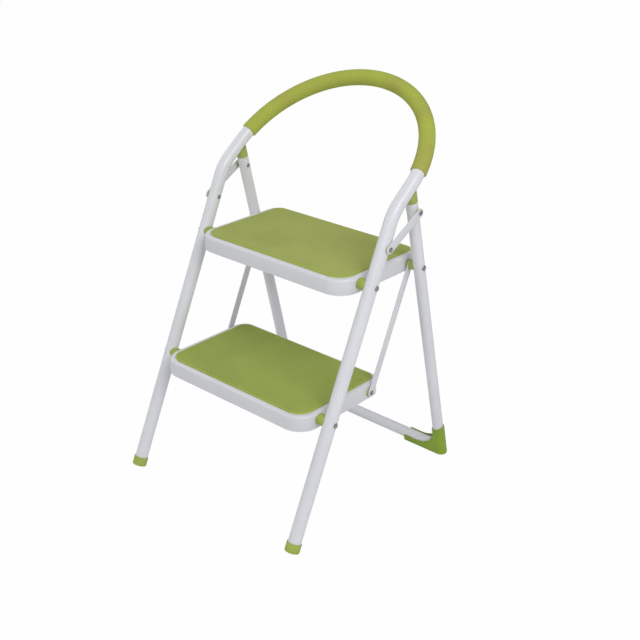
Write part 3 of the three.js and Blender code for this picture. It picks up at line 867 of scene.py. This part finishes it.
@dataclass
class Fasteners:
    """Bolts, rivets, washers and spacers, all turned about an axis along X."""

    bench: Bench
    bolt_radius: float = 0.003
    bolt_head: float = 0.0050
    bolt_seat_depth: float = 0.003
    rivet_radius: float = 0.0025
    rivet_head: float = 0.0047
    rivet_seat_depth: float = 0.0026
    head_height: float = 0.0021
    collar_height: float = 0.0006
    dome_steps: int = 8
    tail_radius: float = 0.004
    tail_height: float = 0.002
    tail_dimple: float = 0.0016
    tail_steps: int = 6
    soft_edge: float = 0.0003
    soft_steps: int = 2
    spacer_edge: float = 0.0009
    spacer_steps: int = 4
    bore_gap: float = 0.0002

    def extent(self, piece: Piece) -> tuple[float, float, float]:
        """Reads how a piece's node lies on its side of the stool.

        Args:
            piece: The piece.

        Returns:
            Its near and its far end from the middle plane, and its radius.
        """
        low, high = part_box(f"{piece.node}_{piece.side.word}")
        inner, outer = sorted((low.x * piece.side.value, high.x * piece.side.value))
        return inner, outer, (high.z - low.z) / 2

    def head(self, radius: float, seat: float) -> Points:
        """Draws a head: a short collar and a dome on it.

        Args:
            radius: Its radius.
            seat: Where its lower side lies along the axis.

        Returns:
            Its profile, from its seat to its top.
        """
        foot, rise = seat + self.collar_height, self.head_height - self.collar_height
        turns = fan(0.0, QUARTER, self.dome_steps)[:-1]
        dome = [(radius * cos(turn), foot + rise * sin(turn)) for turn in turns]
        return [(radius, seat), *dome, (0.0, foot + rise)]

    def bolt(self, piece: Piece) -> None:
        """Makes a bolt with a domed head.

        Args:
            piece: The bolt.
        """
        tip, top, _ = self.extent(piece)
        under = top - self.bolt_seat_depth
        shank = [(0.0, tip), (self.bolt_radius, tip), (self.bolt_radius, under)]
        work = Work.turned([*shank, *self.head(self.bolt_head, under)], piece.pivot, piece.side.outward)
        work.soften(self.soft_edge, self.soft_steps)
        self.bench.finish(work, piece, Coat.ZINC)

    def rivet(self, piece: Piece, headed: bool = True, tailed: bool = True) -> None:
        """Makes a rivet with a domed head and a rolled, hollow tail.

        Args:
            piece: The rivet.
            headed: Whether it has its head.
            tailed: Whether it has its tail.
        """
        inner, outer, _ = self.extent(piece)
        profile = [(0.0, inner), (self.rivet_radius, inner)]
        if tailed:
            half, base = self.tail_radius / 2, inner + self.tail_height
            roll = [
                (half + half * sin(turn), base - self.tail_height * cos(turn) ** 2)
                for turn in fan(0.0, QUARTER, self.tail_steps)
            ]
            profile = [(0.0, inner + self.tail_dimple), *roll, (self.rivet_radius, base)]
        under = outer - self.rivet_seat_depth if headed else outer
        profile.append((self.rivet_radius, under))
        profile += self.head(self.rivet_head, under) if headed else [(0.0, under)]
        self.bench.finish(Work.turned(profile, piece.pivot, piece.side.outward), piece, Coat.ZINC)

    def washer(self, piece: Piece, shank: float) -> None:
        """Makes a plastic washer or bush.

        Args:
            piece: The washer.
            shank: The radius of the shank in its bore.
        """
        inner, outer, radius = self.extent(piece)
        bore = shank + self.bore_gap
        profile = [(bore, inner), (radius, inner), (radius, outer), (bore, outer), (bore, inner)]
        work = Work.turned(profile, piece.pivot, piece.side.outward)
        work.soften(self.soft_edge, self.soft_steps)
        self.bench.finish(work, piece, Coat.OLIVE)

    def spacer(self, piece: Piece, leg_x: float, coat: Coat) -> None:
        """Makes a plastic spacer that runs from the tread or the link into the leg's side.

        Args:
            piece: The spacer.
            leg_x: The leg's distance from the middle plane.
            coat: Its coat.
        """
        inner, _, radius = self.extent(piece)
        profile = [(0.0, inner), (radius, inner), (radius, leg_x), (0.0, leg_x)]
        work = Work.turned(profile, piece.pivot, piece.side.outward, FINE_STEPS)
        work.soften(self.spacer_edge, self.spacer_steps)
        self.bench.finish(work, piece, coat)


@dataclass
class FrontFrame:
    """The bent front tube with its grip, feet, spacers and bolts."""

    bench: Bench
    lines: Lines
    fasteners: Fasteners
    body: str = "front_frame"
    tube_radius: float = 0.0125
    leg_x: float = 0.2108
    leg_length: float = 0.6327
    bend_radius: float = 0.085
    hoop_lean: float = radians(51.7)
    hoop_straight: float = 0.0579
    grip_radius: float = 0.01525
    grip_bore: float = 0.01285
    grip_start: float = radians(8.4)
    grip_seam: float = 0.00002
    foot_radius: float = 0.014
    foot_height: float = 0.018
    foot_sole: float = 0.004
    foot_rounding: float = 0.002
    foot_ring: float = 0.007
    foot_groove: float = 0.0008
    foot_soft_edge: float = 0.0008 / 3
    foot_soft_steps: int = 2
    seat_gap: float = 0.0003
    bend_steps: int = 14
    arch_steps: int = 80
    end_steps: int = 6

    def hoop_up(self) -> Vector:
        """The hoop's direction in the side plane."""
        return Vector((0.0, sin(self.hoop_lean), cos(self.hoop_lean)))

    def foot_start(self) -> float:
        """How far up the leg the foot's sole lies."""
        up, flat = self.lines.front_up, self.foot_radius - self.foot_rounding
        return (self.foot_rounding + flat * up.y) / up.z - self.foot_rounding

    def corner(self, side: Side) -> Vector:
        """Where a leg's line meets the hoop's."""
        return self.lines.front_floor + self.lines.front_up * self.leg_length + side.outward * self.leg_x

    def arch_start(self, side: Side) -> Vector:
        """Where the hoop's arch begins on a side."""
        return self.corner(side) + self.hoop_up() * self.hoop_straight

    def arch_centre(self) -> Vector:
        """The centre of the hoop's arch."""
        return (self.arch_start(Side.LEFT) + self.arch_start(Side.RIGHT)) / 2

    def tube_path(self, radius: float, start: float) -> Work:
        """Runs a round section along the whole front tube.

        Args:
            radius: The section's radius.
            start: How far up the legs its ends lie.

        Returns:
            The work.
        """
        up, over = self.lines.front_up, self.hoop_up()
        turn = up.angle(over)
        inward = (over - up * cos(turn)).normalized()
        trim = self.bend_radius * tan(turn / 2)
        to_bend = inward * self.bend_radius - up * trim
        axis = up.cross(inward)
        leg = up * (self.leg_length - trim - start)
        neck = over * (self.hoop_straight - trim)
        foot = self.lines.front_floor + up * start + Side.LEFT.outward * self.leg_x
        return Work.tube(radius, foot, [
            leg,
            Bend(self.corner(Side.LEFT) + to_bend, axis, turn, self.bend_steps),
            neck,
            Bend(self.arch_centre(), over.cross(X_AXIS), pi, self.arch_steps),
            -neck,
            Bend(self.corner(Side.RIGHT) + to_bend, -axis, turn, self.bend_steps),
            -leg,
        ])

    def tube(self) -> None:
        """Makes the front tube."""
        work = self.tube_path(self.tube_radius, self.foot_start() + self.foot_sole + self.seat_gap)
        self.bench.finish(work, Piece("hoop_tube", "front_hoop_tube", self.body), Coat.TUBE)

    def grip(self) -> None:
        """Makes the foam sleeve on the arch, with round ends and a bore."""
        over, centre = self.hoop_up(), self.arch_centre()
        axis = over.cross(X_AXIS)
        work = Work()
        ring = work.ring(self.grip_bore, self.arch_start(Side.LEFT), over)
        turn = Matrix.Rotation(self.grip_start, 3, axis)
        bmesh.ops.rotate(work.bm, cent=centre, matrix=turn, verts=work.bm.verts)
        wall = self.grip_radius - self.grip_bore
        turns = fan(0.0, QUARTER, self.end_steps)
        radii = [self.grip_bore + wall * sin(turn) for turn in turns]
        reaches = [wall * (1 - cos(turn)) / self.leg_x for turn in turns]
        steps = [after - before for before, after in zip(reaches, reaches[1:])]
        growth = [after / before for before, after in zip(radii, radii[1:])]
        for step, factor in zip(steps, growth):
            ring = work.bend(ring, Bend(centre, axis, step, 1))
            work.widen(ring, factor)
        sweep = pi - 2 * self.grip_start
        ring = work.bend(ring, Bend(centre, axis, sweep - 2 * reaches[-1], self.arch_steps))
        for step, factor in zip(reversed(steps), reversed(growth)):
            ring = work.bend(ring, Bend(centre, axis, step, 1))
            work.widen(ring, 1 / factor)
        work.bend(ring, Bend(centre, axis, -sweep, self.arch_steps))
        bmesh.ops.remove_doubles(work.bm, verts=work.bm.verts, dist=self.grip_seam)
        work.face_outwards()
        self.bench.finish(work, Piece("foam_grip", "hoop_grip", self.body), Coat.FOAM)

    def foot(self, side: Side) -> None:
        """Makes a cup foot with a round rim and a ringed sole.

        Args:
            side: The stool's side.
        """
        inner, outer, groove = self.tube_radius + self.seat_gap, self.foot_radius, self.foot_groove
        round_start = (outer - self.foot_rounding, self.foot_rounding)
        profile = [
            (0.0, groove), (self.foot_ring, groove), (self.foot_ring + groove, 0.0),
            *arc(round_start, self.foot_rounding, -QUARTER, 0.0, self.end_steps),
            (outer, self.foot_height), (inner, self.foot_height),
            (inner, self.foot_sole), (0.0, self.foot_sole),
        ]
        up = self.lines.front_up
        base = self.lines.front_floor + up * self.foot_start() + side.outward * self.leg_x
        work = Work.turned(profile, base, up, FINE_STEPS)
        work.soften(self.foot_soft_edge, self.foot_soft_steps, SQUARE_EDGE)
        self.bench.finish(work, Piece("cup_foot", "front_foot", self.body, side), Coat.CUP)

    def build(self) -> None:
        """Makes the whole front frame."""
        make, pivots = self.fasteners, (self.lines.upper_pivot, self.lines.lower_pivot)
        self.tube()
        self.grip()
        for side in Side:
            self.foot(side)
            for level, pivot in zip(Level, pivots):
                stem, place = f"{level.value}_front", (self.body, side, pivot)
                spacer = Piece(f"{stem}_tread_spacer", f"{stem}_spacer", *place)
                make.spacer(spacer, self.leg_x, Coat.CUP)
                make.bolt(Piece(f"{stem}_tread_bolt", f"{stem}_bolt", *place))
                self.bench.keep(f"{stem}_nut_{side.word}", Coat.ZINC)
            place = (self.body, side, self.lines.brace_front)
            make.rivet(Piece("front_brace_rivet", "brace_front_rivet", *place))


@dataclass
class RearFrame:
    """The bent rear tube with its boots, stop caps, spacers and bolts.

    Its outlines lie in its own plane: X across, Y up along the legs, Z to the front, from the
    middle of the floor bar.
    """

    bench: Bench
    lines: Lines
    fasteners: Fasteners
    front: FrontFrame
    body: str = "rear_frame"
    tube_radius: float = 0.011
    tube_wall: float = 0.0012
    leg_x: float = 0.2103
    bend_radius: float = 0.042
    bend_steps: int = 24
    above_brace: float = 0.0184
    seat_gap: float = 0.0003
    boot_wall: float = 0.0018
    boot_sole: float = 0.003
    boot_reach: float = 0.086
    boot_rim_height: float = 0.0555
    boot_rim_tilt: float = radians(19)
    boot_rounding: float = 0.0055
    boot_round_steps: int = 8
    boot_lip: float = 0.0035
    boot_rear_rise: float = 0.0030
    boot_fillet: float = 0.050
    boot_fillet_reach: float = 0.0081
    boot_end_rounding: float = 0.004
    boot_voxel: float = 0.0008
    cap_height: float = 0.026
    cap_plug: float = 0.012
    cap_wing: float = 0.0115
    cap_voxel: float = 0.0005
    overrun: float = 0.01
    smoothing: int = 5

    def floor_bar(self) -> Vector:
        """The middle of the floor bar's centre line."""
        height = self.lines.rear_pivot.z - self.boot_sole - self.tube_radius
        return self.lines.rear_pivot - self.lines.rear_up * (height / self.lines.rear_up.z)

    def plane(self) -> Matrix:
        """The matrix from the rear frame's own plane to the stool."""
        axes = (X_AXIS, self.lines.rear_up, X_AXIS.cross(self.lines.rear_up))
        return Matrix.Translation(self.floor_bar()) @ Matrix(axes).transposed().to_4x4()

    def leg_top(self) -> float:
        """How far above the floor bar the legs end."""
        return (self.lines.brace_rear - self.floor_bar()).length + self.above_brace

    def tube_path(self, radius: float) -> Work:
        """Runs a round section down one leg, along the floor bar and up the other leg.

        Args:
            radius: The section's radius.

        Returns:
            The work, in the rear plane.
        """
        inner_x = self.leg_x - self.bend_radius
        leg = Y_AXIS * (self.leg_top() - self.bend_radius)
        left, right = (
            Bend(Vector((x, self.bend_radius, 0.0)), Z_AXIS, QUARTER, self.bend_steps)
            for x in (-inner_x, inner_x)
        )
        top = Vector((-self.leg_x, self.leg_top(), 0.0))
        return Work.tube(radius, top, [-leg, left, X_AXIS * 2 * inner_x, right, leg])

    def tube(self) -> None:
        """Makes the rear tube."""
        work = self.tube_path(self.tube_radius)
        work.move(self.plane())
        self.bench.finish(work, Piece("rear_leg_tube", "rear_tube", self.body), Coat.TUBE)

    def lip(self, bottom: float, outer: float, height: float) -> Points:
        """The outline of a boot's lip along the floor bar, with its fillet up to the sleeve.

        Args:
            bottom: Its lower edge.
            outer: The sleeve's radius.
            height: Its upper edge.

        Returns:
            The outline.
        """
        start_x, end, fillet = self.leg_x - self.boot_reach, self.boot_end_rounding, self.boot_fillet
        centre = (self.leg_x - outer + self.boot_fillet_reach - fillet, height + fillet)
        return [
            (start_x, bottom), (self.leg_x, bottom), (self.leg_x, centre[1]),
            *arc(centre, fillet, 0.0, -QUARTER, self.bend_steps),
            *arc((start_x + end, height - end), end, QUARTER, pi, self.bend_steps),
        ]

    def boot(self) -> None:
        """Makes the two corner boots: a sleeve, and lips in front of and behind the floor bar."""
        bore = self.tube_radius + self.seat_gap
        outer = bore + self.boot_wall
        lean = asin(-self.lines.rear_up.y)
        bottom = -(self.boot_sole + self.tube_radius + outer * sin(lean)) / cos(lean)
        round_start = (outer - self.boot_rounding, bottom + self.boot_rounding)
        rim = arc(round_start, self.boot_rounding, -QUARTER, 0.0, self.boot_round_steps)
        top = self.boot_rim_height + outer
        profile = [(0.0, bottom), *rim, (outer, top), (0.0, top)]
        sleeve = Work.turned(profile, X_AXIS * self.leg_x, Y_AXIS, FINE_STEPS)
        lips = [self.lip(bottom, outer, self.boot_lip + rise) for rise in (0.0, self.boot_rear_rise)]
        bent = (self.leg_x - self.bend_radius, self.bend_radius)
        mouth_x = self.leg_x - self.boot_reach - self.overrun
        mouth = [
            (mouth_x, 0.0), *arc(bent, self.bend_radius, -QUARTER, 0.0, self.bend_steps),
            (mouth_x, self.bend_radius),
        ]
        rim_place = Matrix.Translation((self.leg_x, self.boot_rim_height, 0))
        rim_turn = Matrix.Rotation(self.boot_rim_tilt, 4, "Z")
        above = Matrix.Translation((0, self.boot_rim_height, 0))
        below = Matrix.Translation((self.leg_x, self.floor_bar().y, -self.leg_x / 2))
        work = cast(sleeve, [
            (Change.JOIN, Work.block(lips[0], 0.0, outer)),
            (Change.JOIN, Work.block(lips[1], -outer, 0.0)),
            (Change.CUT, Work.cube(2 * self.boot_rim_height, rim_place @ rim_turn @ above)),
            (Change.CUT, self.tube_path(bore)),
            (Change.CUT, Work.block(mouth, -bore, bore)),
            (Change.CUT, Work.cube(self.leg_x, self.plane().inverted() @ below)),
        ], self.boot_voxel, self.smoothing)
        work.move(self.plane())
        for vert in work.bm.verts:
            vert.co.z = max(vert.co.z, 0.0)
        self.pair(work, "corner_boot", "rear_boot", Coat.BOOT)

    def pair(self, work: Work, name: str, node: str, coat: Coat) -> None:
        """Finishes a right-hand piece, and its mirror image on the left."""
        for side, made in ((Side.RIGHT, work), (Side.LEFT, work.mirrored())):
            self.bench.finish(made, Piece(name, node, self.body, side), coat)

    def stop_cap(self) -> None:
        """Makes the two caps in the legs' tops, hollowed where they rest against the hoop tube."""
        plug, outer, front = self.tube_radius - self.tube_wall - self.seat_gap, self.tube_radius, self.front
        profile = [
            (0.0, -self.cap_plug), (plug, -self.cap_plug), (plug, 0.0),
            (outer, 0.0), (outer, self.cap_height), (0.0, self.cap_height),
        ]
        base = Vector((self.leg_x, self.leg_top() + self.seat_gap, 0.0))
        to_plane = self.plane().inverted()
        hollow = front.tube_path(front.tube_radius + self.seat_gap, front.foot_start())
        hollow.move(to_plane)
        size = 4 * front.tube_radius + 2 * self.cap_height
        corner = Matrix.Translation(front.corner(Side.RIGHT)) @ Matrix.Rotation(-front.hoop_lean, 4, "X")
        beyond = Matrix.Translation((0, self.cap_wing - size / 2, size / 2))
        work = cast(Work.turned(profile, base, Y_AXIS, FINE_STEPS), [
            (Change.CUT, hollow),
            (Change.CUT, Work.cube(size, to_plane @ corner @ beyond)),
        ], self.cap_voxel, self.smoothing)
        work.move(self.plane())
        self.pair(work, "stop_cap", "rear_stop_cap", Coat.OLIVE)

    def build(self) -> None:
        """Makes the whole rear frame."""
        make = self.fasteners
        self.tube()
        self.boot()
        self.stop_cap()
        for side in Side:
            place = (self.body, side, self.lines.rear_pivot)
            make.spacer(Piece("rear_leg_spacer", "rear_spacer", *place), self.leg_x, Coat.OLIVE)
            make.bolt(Piece("rear_leg_bolt", "rear_bolt", *place))
            place = (self.body, side, self.lines.brace_rear)
            make.rivet(Piece("rear_brace_tail", "brace_rear_tail", *place), headed=False)
            self.bench.keep(f"rear_nut_{side.word}", Coat.ZINC)
            self.bench.keep(f"boot_screw_{side.word}", Coat.ZINC)


@dataclass
class Tread:
    """One pressed tread with its mat and its link's washers."""

    bench: Bench
    lines: Lines
    fasteners: Fasteners
    level: Level
    front_corner: float = 0.040
    rear_corner: float = 0.028
    corner_steps: int = 14
    edge_rounding: float = 0.005
    edge_steps: int = 8
    lip_rounding: float = 0.0008
    lip_steps: int = 4
    recess: float = 0.0023
    sheet: float = 0.0016
    rolled_steps: int = 3
    mat_side_inset: float = 0.0112
    mat_front_inset: float = 0.0100
    mat_rear_inset: float = 0.0065
    mat_gap: float = 0.0003
    mat_bead: float = 0.0014
    mat_bead_height: float = 0.0005
    mat_bead_steps: int = 6

    @property
    def body(self) -> str:
        """The body that the tread rides on."""
        return f"{self.level.value}_step"

    def slab(self, low: Vector, high: Vector, front_radius: float, rear_radius: float) -> Work:
        """A block with round corners in plan.

        Args:
            low: Its lowest corner.
            high: Its highest corner.
            front_radius: The front corners' radius.
            rear_radius: The rear corners' radius.

        Returns:
            The work.
        """
        size, middle = high - low, (high + low) / 2
        work = Work.cube(1.0, Matrix.Translation(middle) @ Matrix.Diagonal((*size, 1.0)))
        for radius, at_front in ((front_radius, True), (rear_radius, False)):
            work.round_edges([
                edge for edge in work.bm.edges
                if abs(edge.verts[0].co.z - edge.verts[1].co.z) > size.z / 2
                and (edge.verts[0].co.y < middle.y) == at_front
                and edge.calc_face_angle() > SQUARE_EDGE
            ], radius, self.corner_steps)
        return work

    def top_face(self, work: Work) -> BMFace:
        """The largest face that looks straight up."""
        level = [face for face in work.bm.faces if face.normal.z > LEVEL_NORMAL]
        return max(level, key=lambda face: face.calc_area())

    def inset_top(self, work: Work, thickness: float, depth: float = 0.0) -> list[BMFace]:
        """Insets the top face and moves it up.

        Args:
            work: The tread's piece.
            thickness: How far it is inset.
            depth: How far it goes up.

        Returns:
            The faces round it.
        """
        return bmesh.ops.inset_region(
            work.bm, faces=[self.top_face(work)], thickness=thickness, depth=depth, use_even_offset=True
        )["faces"]

    def pan(self) -> None:
        """Makes the pressed pan: a round edge, a skirt open below and a shallow seat for the mat."""
        node = f"{self.level.value}_tread_pan"
        low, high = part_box(node)
        work = self.slab(low, high, self.front_corner, self.rear_corner)
        bottom = min(work.bm.faces, key=lambda face: face.calc_center_median().z)
        bmesh.ops.delete(work.bm, geom=[bottom], context="FACES_ONLY")
        work.round_edges(list(self.top_face(work).edges), self.edge_rounding, self.edge_steps)
        inset = self.mat_rear_inset - self.mat_gap
        self.inset_top(work, inset - self.edge_rounding)
        top = self.top_face(work)
        # The evenly inset seat is stretched to the mat's own insets at the sides and the front.
        half, back = (high.x - low.x) / 2, high.y - inset
        wide = (half - self.mat_side_inset + self.mat_gap) / (half - inset)
        deep = (back - low.y - self.mat_front_inset + self.mat_gap) / (back - low.y - inset)
        space = Matrix.Translation((0.0, -back, 0.0))
        bmesh.ops.scale(work.bm, vec=(wide, deep, 1), verts=list(top.verts), space=space)
        lip = list(top.edges)
        work.lift(top, -self.recess)
        if top.is_valid:
            bmesh.ops.delete(work.bm, geom=[top], context="FACES_ONLY")
        work.round_edges([edge for edge in lip if edge.is_valid], self.lip_rounding, self.lip_steps)
        work.face_outwards()
        made = self.bench.finish(work, Piece(f"{self.level.value}_pan", node, self.body), Coat.SHEET)
        wall = made.modifiers.new("sheet", "SOLIDIFY")
        wall.thickness, wall.offset = self.sheet, -1.0
        wall.use_even_offset, wall.thickness_clamp = True, 0.0
        edge = made.modifiers.new("rolled_edge", "BEVEL")
        edge.width, edge.segments = self.sheet / 3, self.rolled_steps
        edge.limit_method, edge.angle_limit = "ANGLE", SQUARE_EDGE

    def mat(self) -> None:
        """Makes the mat: a grained slab with a moulded bead round its edge, whose bead and sides get a
        lighter tint as a painted highlight.
        """
        node = f"{self.level.value}_tread_mat"
        low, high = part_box(node)
        front_radius = self.front_corner - (self.mat_side_inset + self.mat_front_inset) / 2
        rear_radius = self.rear_corner - (self.mat_side_inset + self.mat_rear_inset) / 2
        work = self.slab(low, high, front_radius, rear_radius)
        work.round_edges(list(self.top_face(work).edges), self.mat_bead, self.mat_bead_steps)
        self.inset_top(work, self.mat_bead)
        slope = self.inset_top(work, self.mat_bead / 2, -self.mat_bead_height)
        grained = {self.top_face(work), *slope}
        # Faces off the grained top take the edge coat, whose lighter tint is a painted highlight.
        for face in work.bm.faces:
            face.material_index = 0 if face in grained else 1
        # The upper mat gets the lighter copy of the mat's tints as painted light, the lower mat the darker
        # copy as painted shade.
        top_coat = Coat.UPPER_MAT if self.level is Level.UPPER else Coat.LOWER_MAT
        piece = Piece(f"{self.level.value}_mat", node, self.body)
        self.bench.finish(work, piece, top_coat, Coat.MAT_EDGE)

    def build(self) -> None:
        """Makes the whole tread."""
        self.pan()
        self.mat()
        word, make, upper = self.level.value, self.fasteners, self.level is Level.UPPER
        pivot = self.lines.rear_pivot if upper else self.lines.link_lower
        shank = make.bolt_radius if upper else make.rivet_radius
        for side in Side:
            place = (self.body, side, pivot)
            make.washer(Piece(f"{word}_bar_washer", f"{word}_link_washer", *place), shank)
            if not upper:
                make.rivet(Piece("bar_rivet", "lower_link_rivet", *place))


@dataclass
class Links:
    """The flat bars on each side, with their washers and rivets."""

    bench: Bench
    lines: Lines
    fasteners: Fasteners
    link_width: float = 0.015
    brace_width: float = 0.016
    soft_edge: float = 0.0005
    soft_steps: int = 3

    def bar(self, piece: Piece, end: Vector, width: float) -> None:
        """Makes a flat bar with round ends.

        Args:
            piece: The bar, with its first pivot.
            end: Its other pivot, in the middle plane.
            width: Its width.
        """
        inner, outer, _ = self.fasteners.extent(piece)
        reach = piece.side.outward * inner
        work = Work.plate(piece.pivot + reach, end + reach, width, (outer - inner) * piece.side.value)
        work.soften(self.soft_edge, self.soft_steps, SQUARE_EDGE)
        self.bench.finish(work, piece, Coat.SHEET)

    def build(self) -> None:
        """Makes the bars of both sides."""
        lines, make, shank = self.lines, self.fasteners, self.fasteners.rivet_radius
        for side in Side:
            body = f"{side.word}_connecting_link"
            link = Piece("side_bar", "connecting_link", body, side, lines.rear_pivot)
            self.bar(link, lines.link_lower, self.link_width)
            body = f"{side.word}_brace"
            front, rear = (body, side, lines.brace_front), (body, side, lines.brace_rear)
            self.bar(Piece("brace_bar", "brace", *front), lines.brace_rear, self.brace_width)
            make.washer(Piece("front_brace_washer", "brace_front_washer", *front), shank)
            make.washer(Piece("rear_brace_bush", "brace_rear_washer", *rear), shank)
            make.rivet(Piece("rear_brace_rivet", "brace_rear_rivet", *rear), tailed=False)


@dataclass(frozen=True)
class Lamp:
    """A square soft lamp: its name, its place, its side and its power in watts."""

    name: str
    place: tuple[float, float, float]
    size: float
    power: float


@dataclass
class Studio:
    """The floor, the lamps, the world and the camera."""

    camera_place: tuple[float, float, float] = (1.2286, -1.3280, 1.1603)
    camera_yaw: float = radians(41.216)
    camera_pitch: float = radians(-25.086)
    camera_roll: float = radians(0.521)
    focal_pixels: float = 1031.51
    image_pixels: float = 640.0
    sensor_width: float = 36.0
    nearest: float = 0.01
    floor_size: float = 60.0
    floor_drop: float = 0.0005
    floor_colour: tuple[float, float, float, float] = (0.8, 0.8, 0.8, 1.0)
    floor_roughness: float = 0.9
    floor_white: float = 0.98
    mirrored_white: float = 0.4
    sky_colour: tuple[float, float, float, float] = (0.97, 0.98, 1.0, 1.0)
    sky_strength: float = 0.45
    aim: tuple[float, float, float] = (0.0, 0.0, 0.35)
    lamps: tuple[Lamp, ...] = (
        Lamp("key", (1.9, -0.6, 2.2), 1.4, 26.0),
        Lamp("near", (1.4, -2.4, 1.9), 1.4, 10.0),
        Lamp("fill", (-1.8, -1.6, 1.6), 1.6, 8.0),
        Lamp("left", (-2.2, 0.4, 1.6), 1.4, 7.0),
    )

    def camera(self) -> None:
        """Puts the camera where the photograph was taken from."""
        data = bpy.data.cameras.new("camera")
        data.sensor_width = self.sensor_width
        data.lens = self.focal_pixels / self.image_pixels * self.sensor_width
        data.clip_start = self.nearest
        made = stand("camera", data)
        turn = (
            Matrix.Rotation(self.camera_yaw, 4, "Z")
            @ Matrix.Rotation(QUARTER + self.camera_pitch, 4, "X")
            @ Matrix.Rotation(self.camera_roll, 4, "Z")
        )
        made.matrix_world = Matrix.Translation(self.camera_place) @ turn
        bpy.context.scene.camera = made

    def floor(self) -> None:
        """A plain pale floor that keeps the stool's shadow."""
        work = Work()
        bmesh.ops.create_grid(work.bm, x_segments=1, y_segments=1, size=self.floor_size / 2)
        work.move(Matrix.Translation((0, 0, -self.floor_drop)))
        made = work.object("floor")
        graph = Graph(bpy.data.materials.new("floor_paint"))
        paint = graph.shade({"Base Color": self.floor_colour, "Roughness": self.floor_roughness})
        paths = graph.node("ShaderNodeLightPath", {}, {}).outputs
        seen, mirrored = Shade(graph, paths["Is Camera Ray"]), Shade(graph, paths["Is Glossy Ray"])
        share = self.floor_white * seen + self.mirrored_white * mirrored
        base = graph.tree.nodes["Principled BSDF"].outputs[0]
        graph.whiten(base, "ShaderNodeEmission", share, "Material Output")
        made.data.materials.append(paint)

    def world(self) -> None:
        """An even, soft sky that the camera sees as white."""
        world = bpy.data.worlds.new("studio")
        bpy.context.scene.world = world
        graph = Graph(world)
        sky = graph.tree.nodes["Background"]
        graph.feed(sky.inputs["Color"], self.sky_colour)
        graph.feed(sky.inputs["Strength"], self.sky_strength)
        seen = graph.node("ShaderNodeLightPath", {}, {}).outputs["Is Camera Ray"]
        graph.whiten(sky.outputs[0], "ShaderNodeBackground", seen, "World Output")

    def build(self) -> None:
        """Sets the whole stage."""
        self.camera()
        self.floor()
        self.world()
        for lamp in self.lamps:
            data = bpy.data.lights.new(lamp.name, "AREA")
            data.size = lamp.size
            data.energy = lamp.power
            made = stand(lamp.name, data)
            made.location = lamp.place
            aim = Vector(self.aim) - Vector(lamp.place)
            made.rotation_euler = aim.to_track_quat("-Z", "Y").to_euler()
        bpy.context.scene.view_settings.view_transform = "Standard"


def main() -> None:
    """Builds the stage and the stool."""
    logging.basicConfig(level=logging.INFO, format="%(name)s: %(message)s")
    Studio().build()
    bench = Bench()
    lines = Lines()
    fasteners = Fasteners(bench)
    front = FrontFrame(bench, lines, fasteners)
    front.build()
    RearFrame(bench, lines, fasteners, front).build()
    for level in Level:
        Tread(bench, lines, fasteners, level).build()
    Links(bench, lines, fasteners).build()


if __name__ == "__main__":
    main()
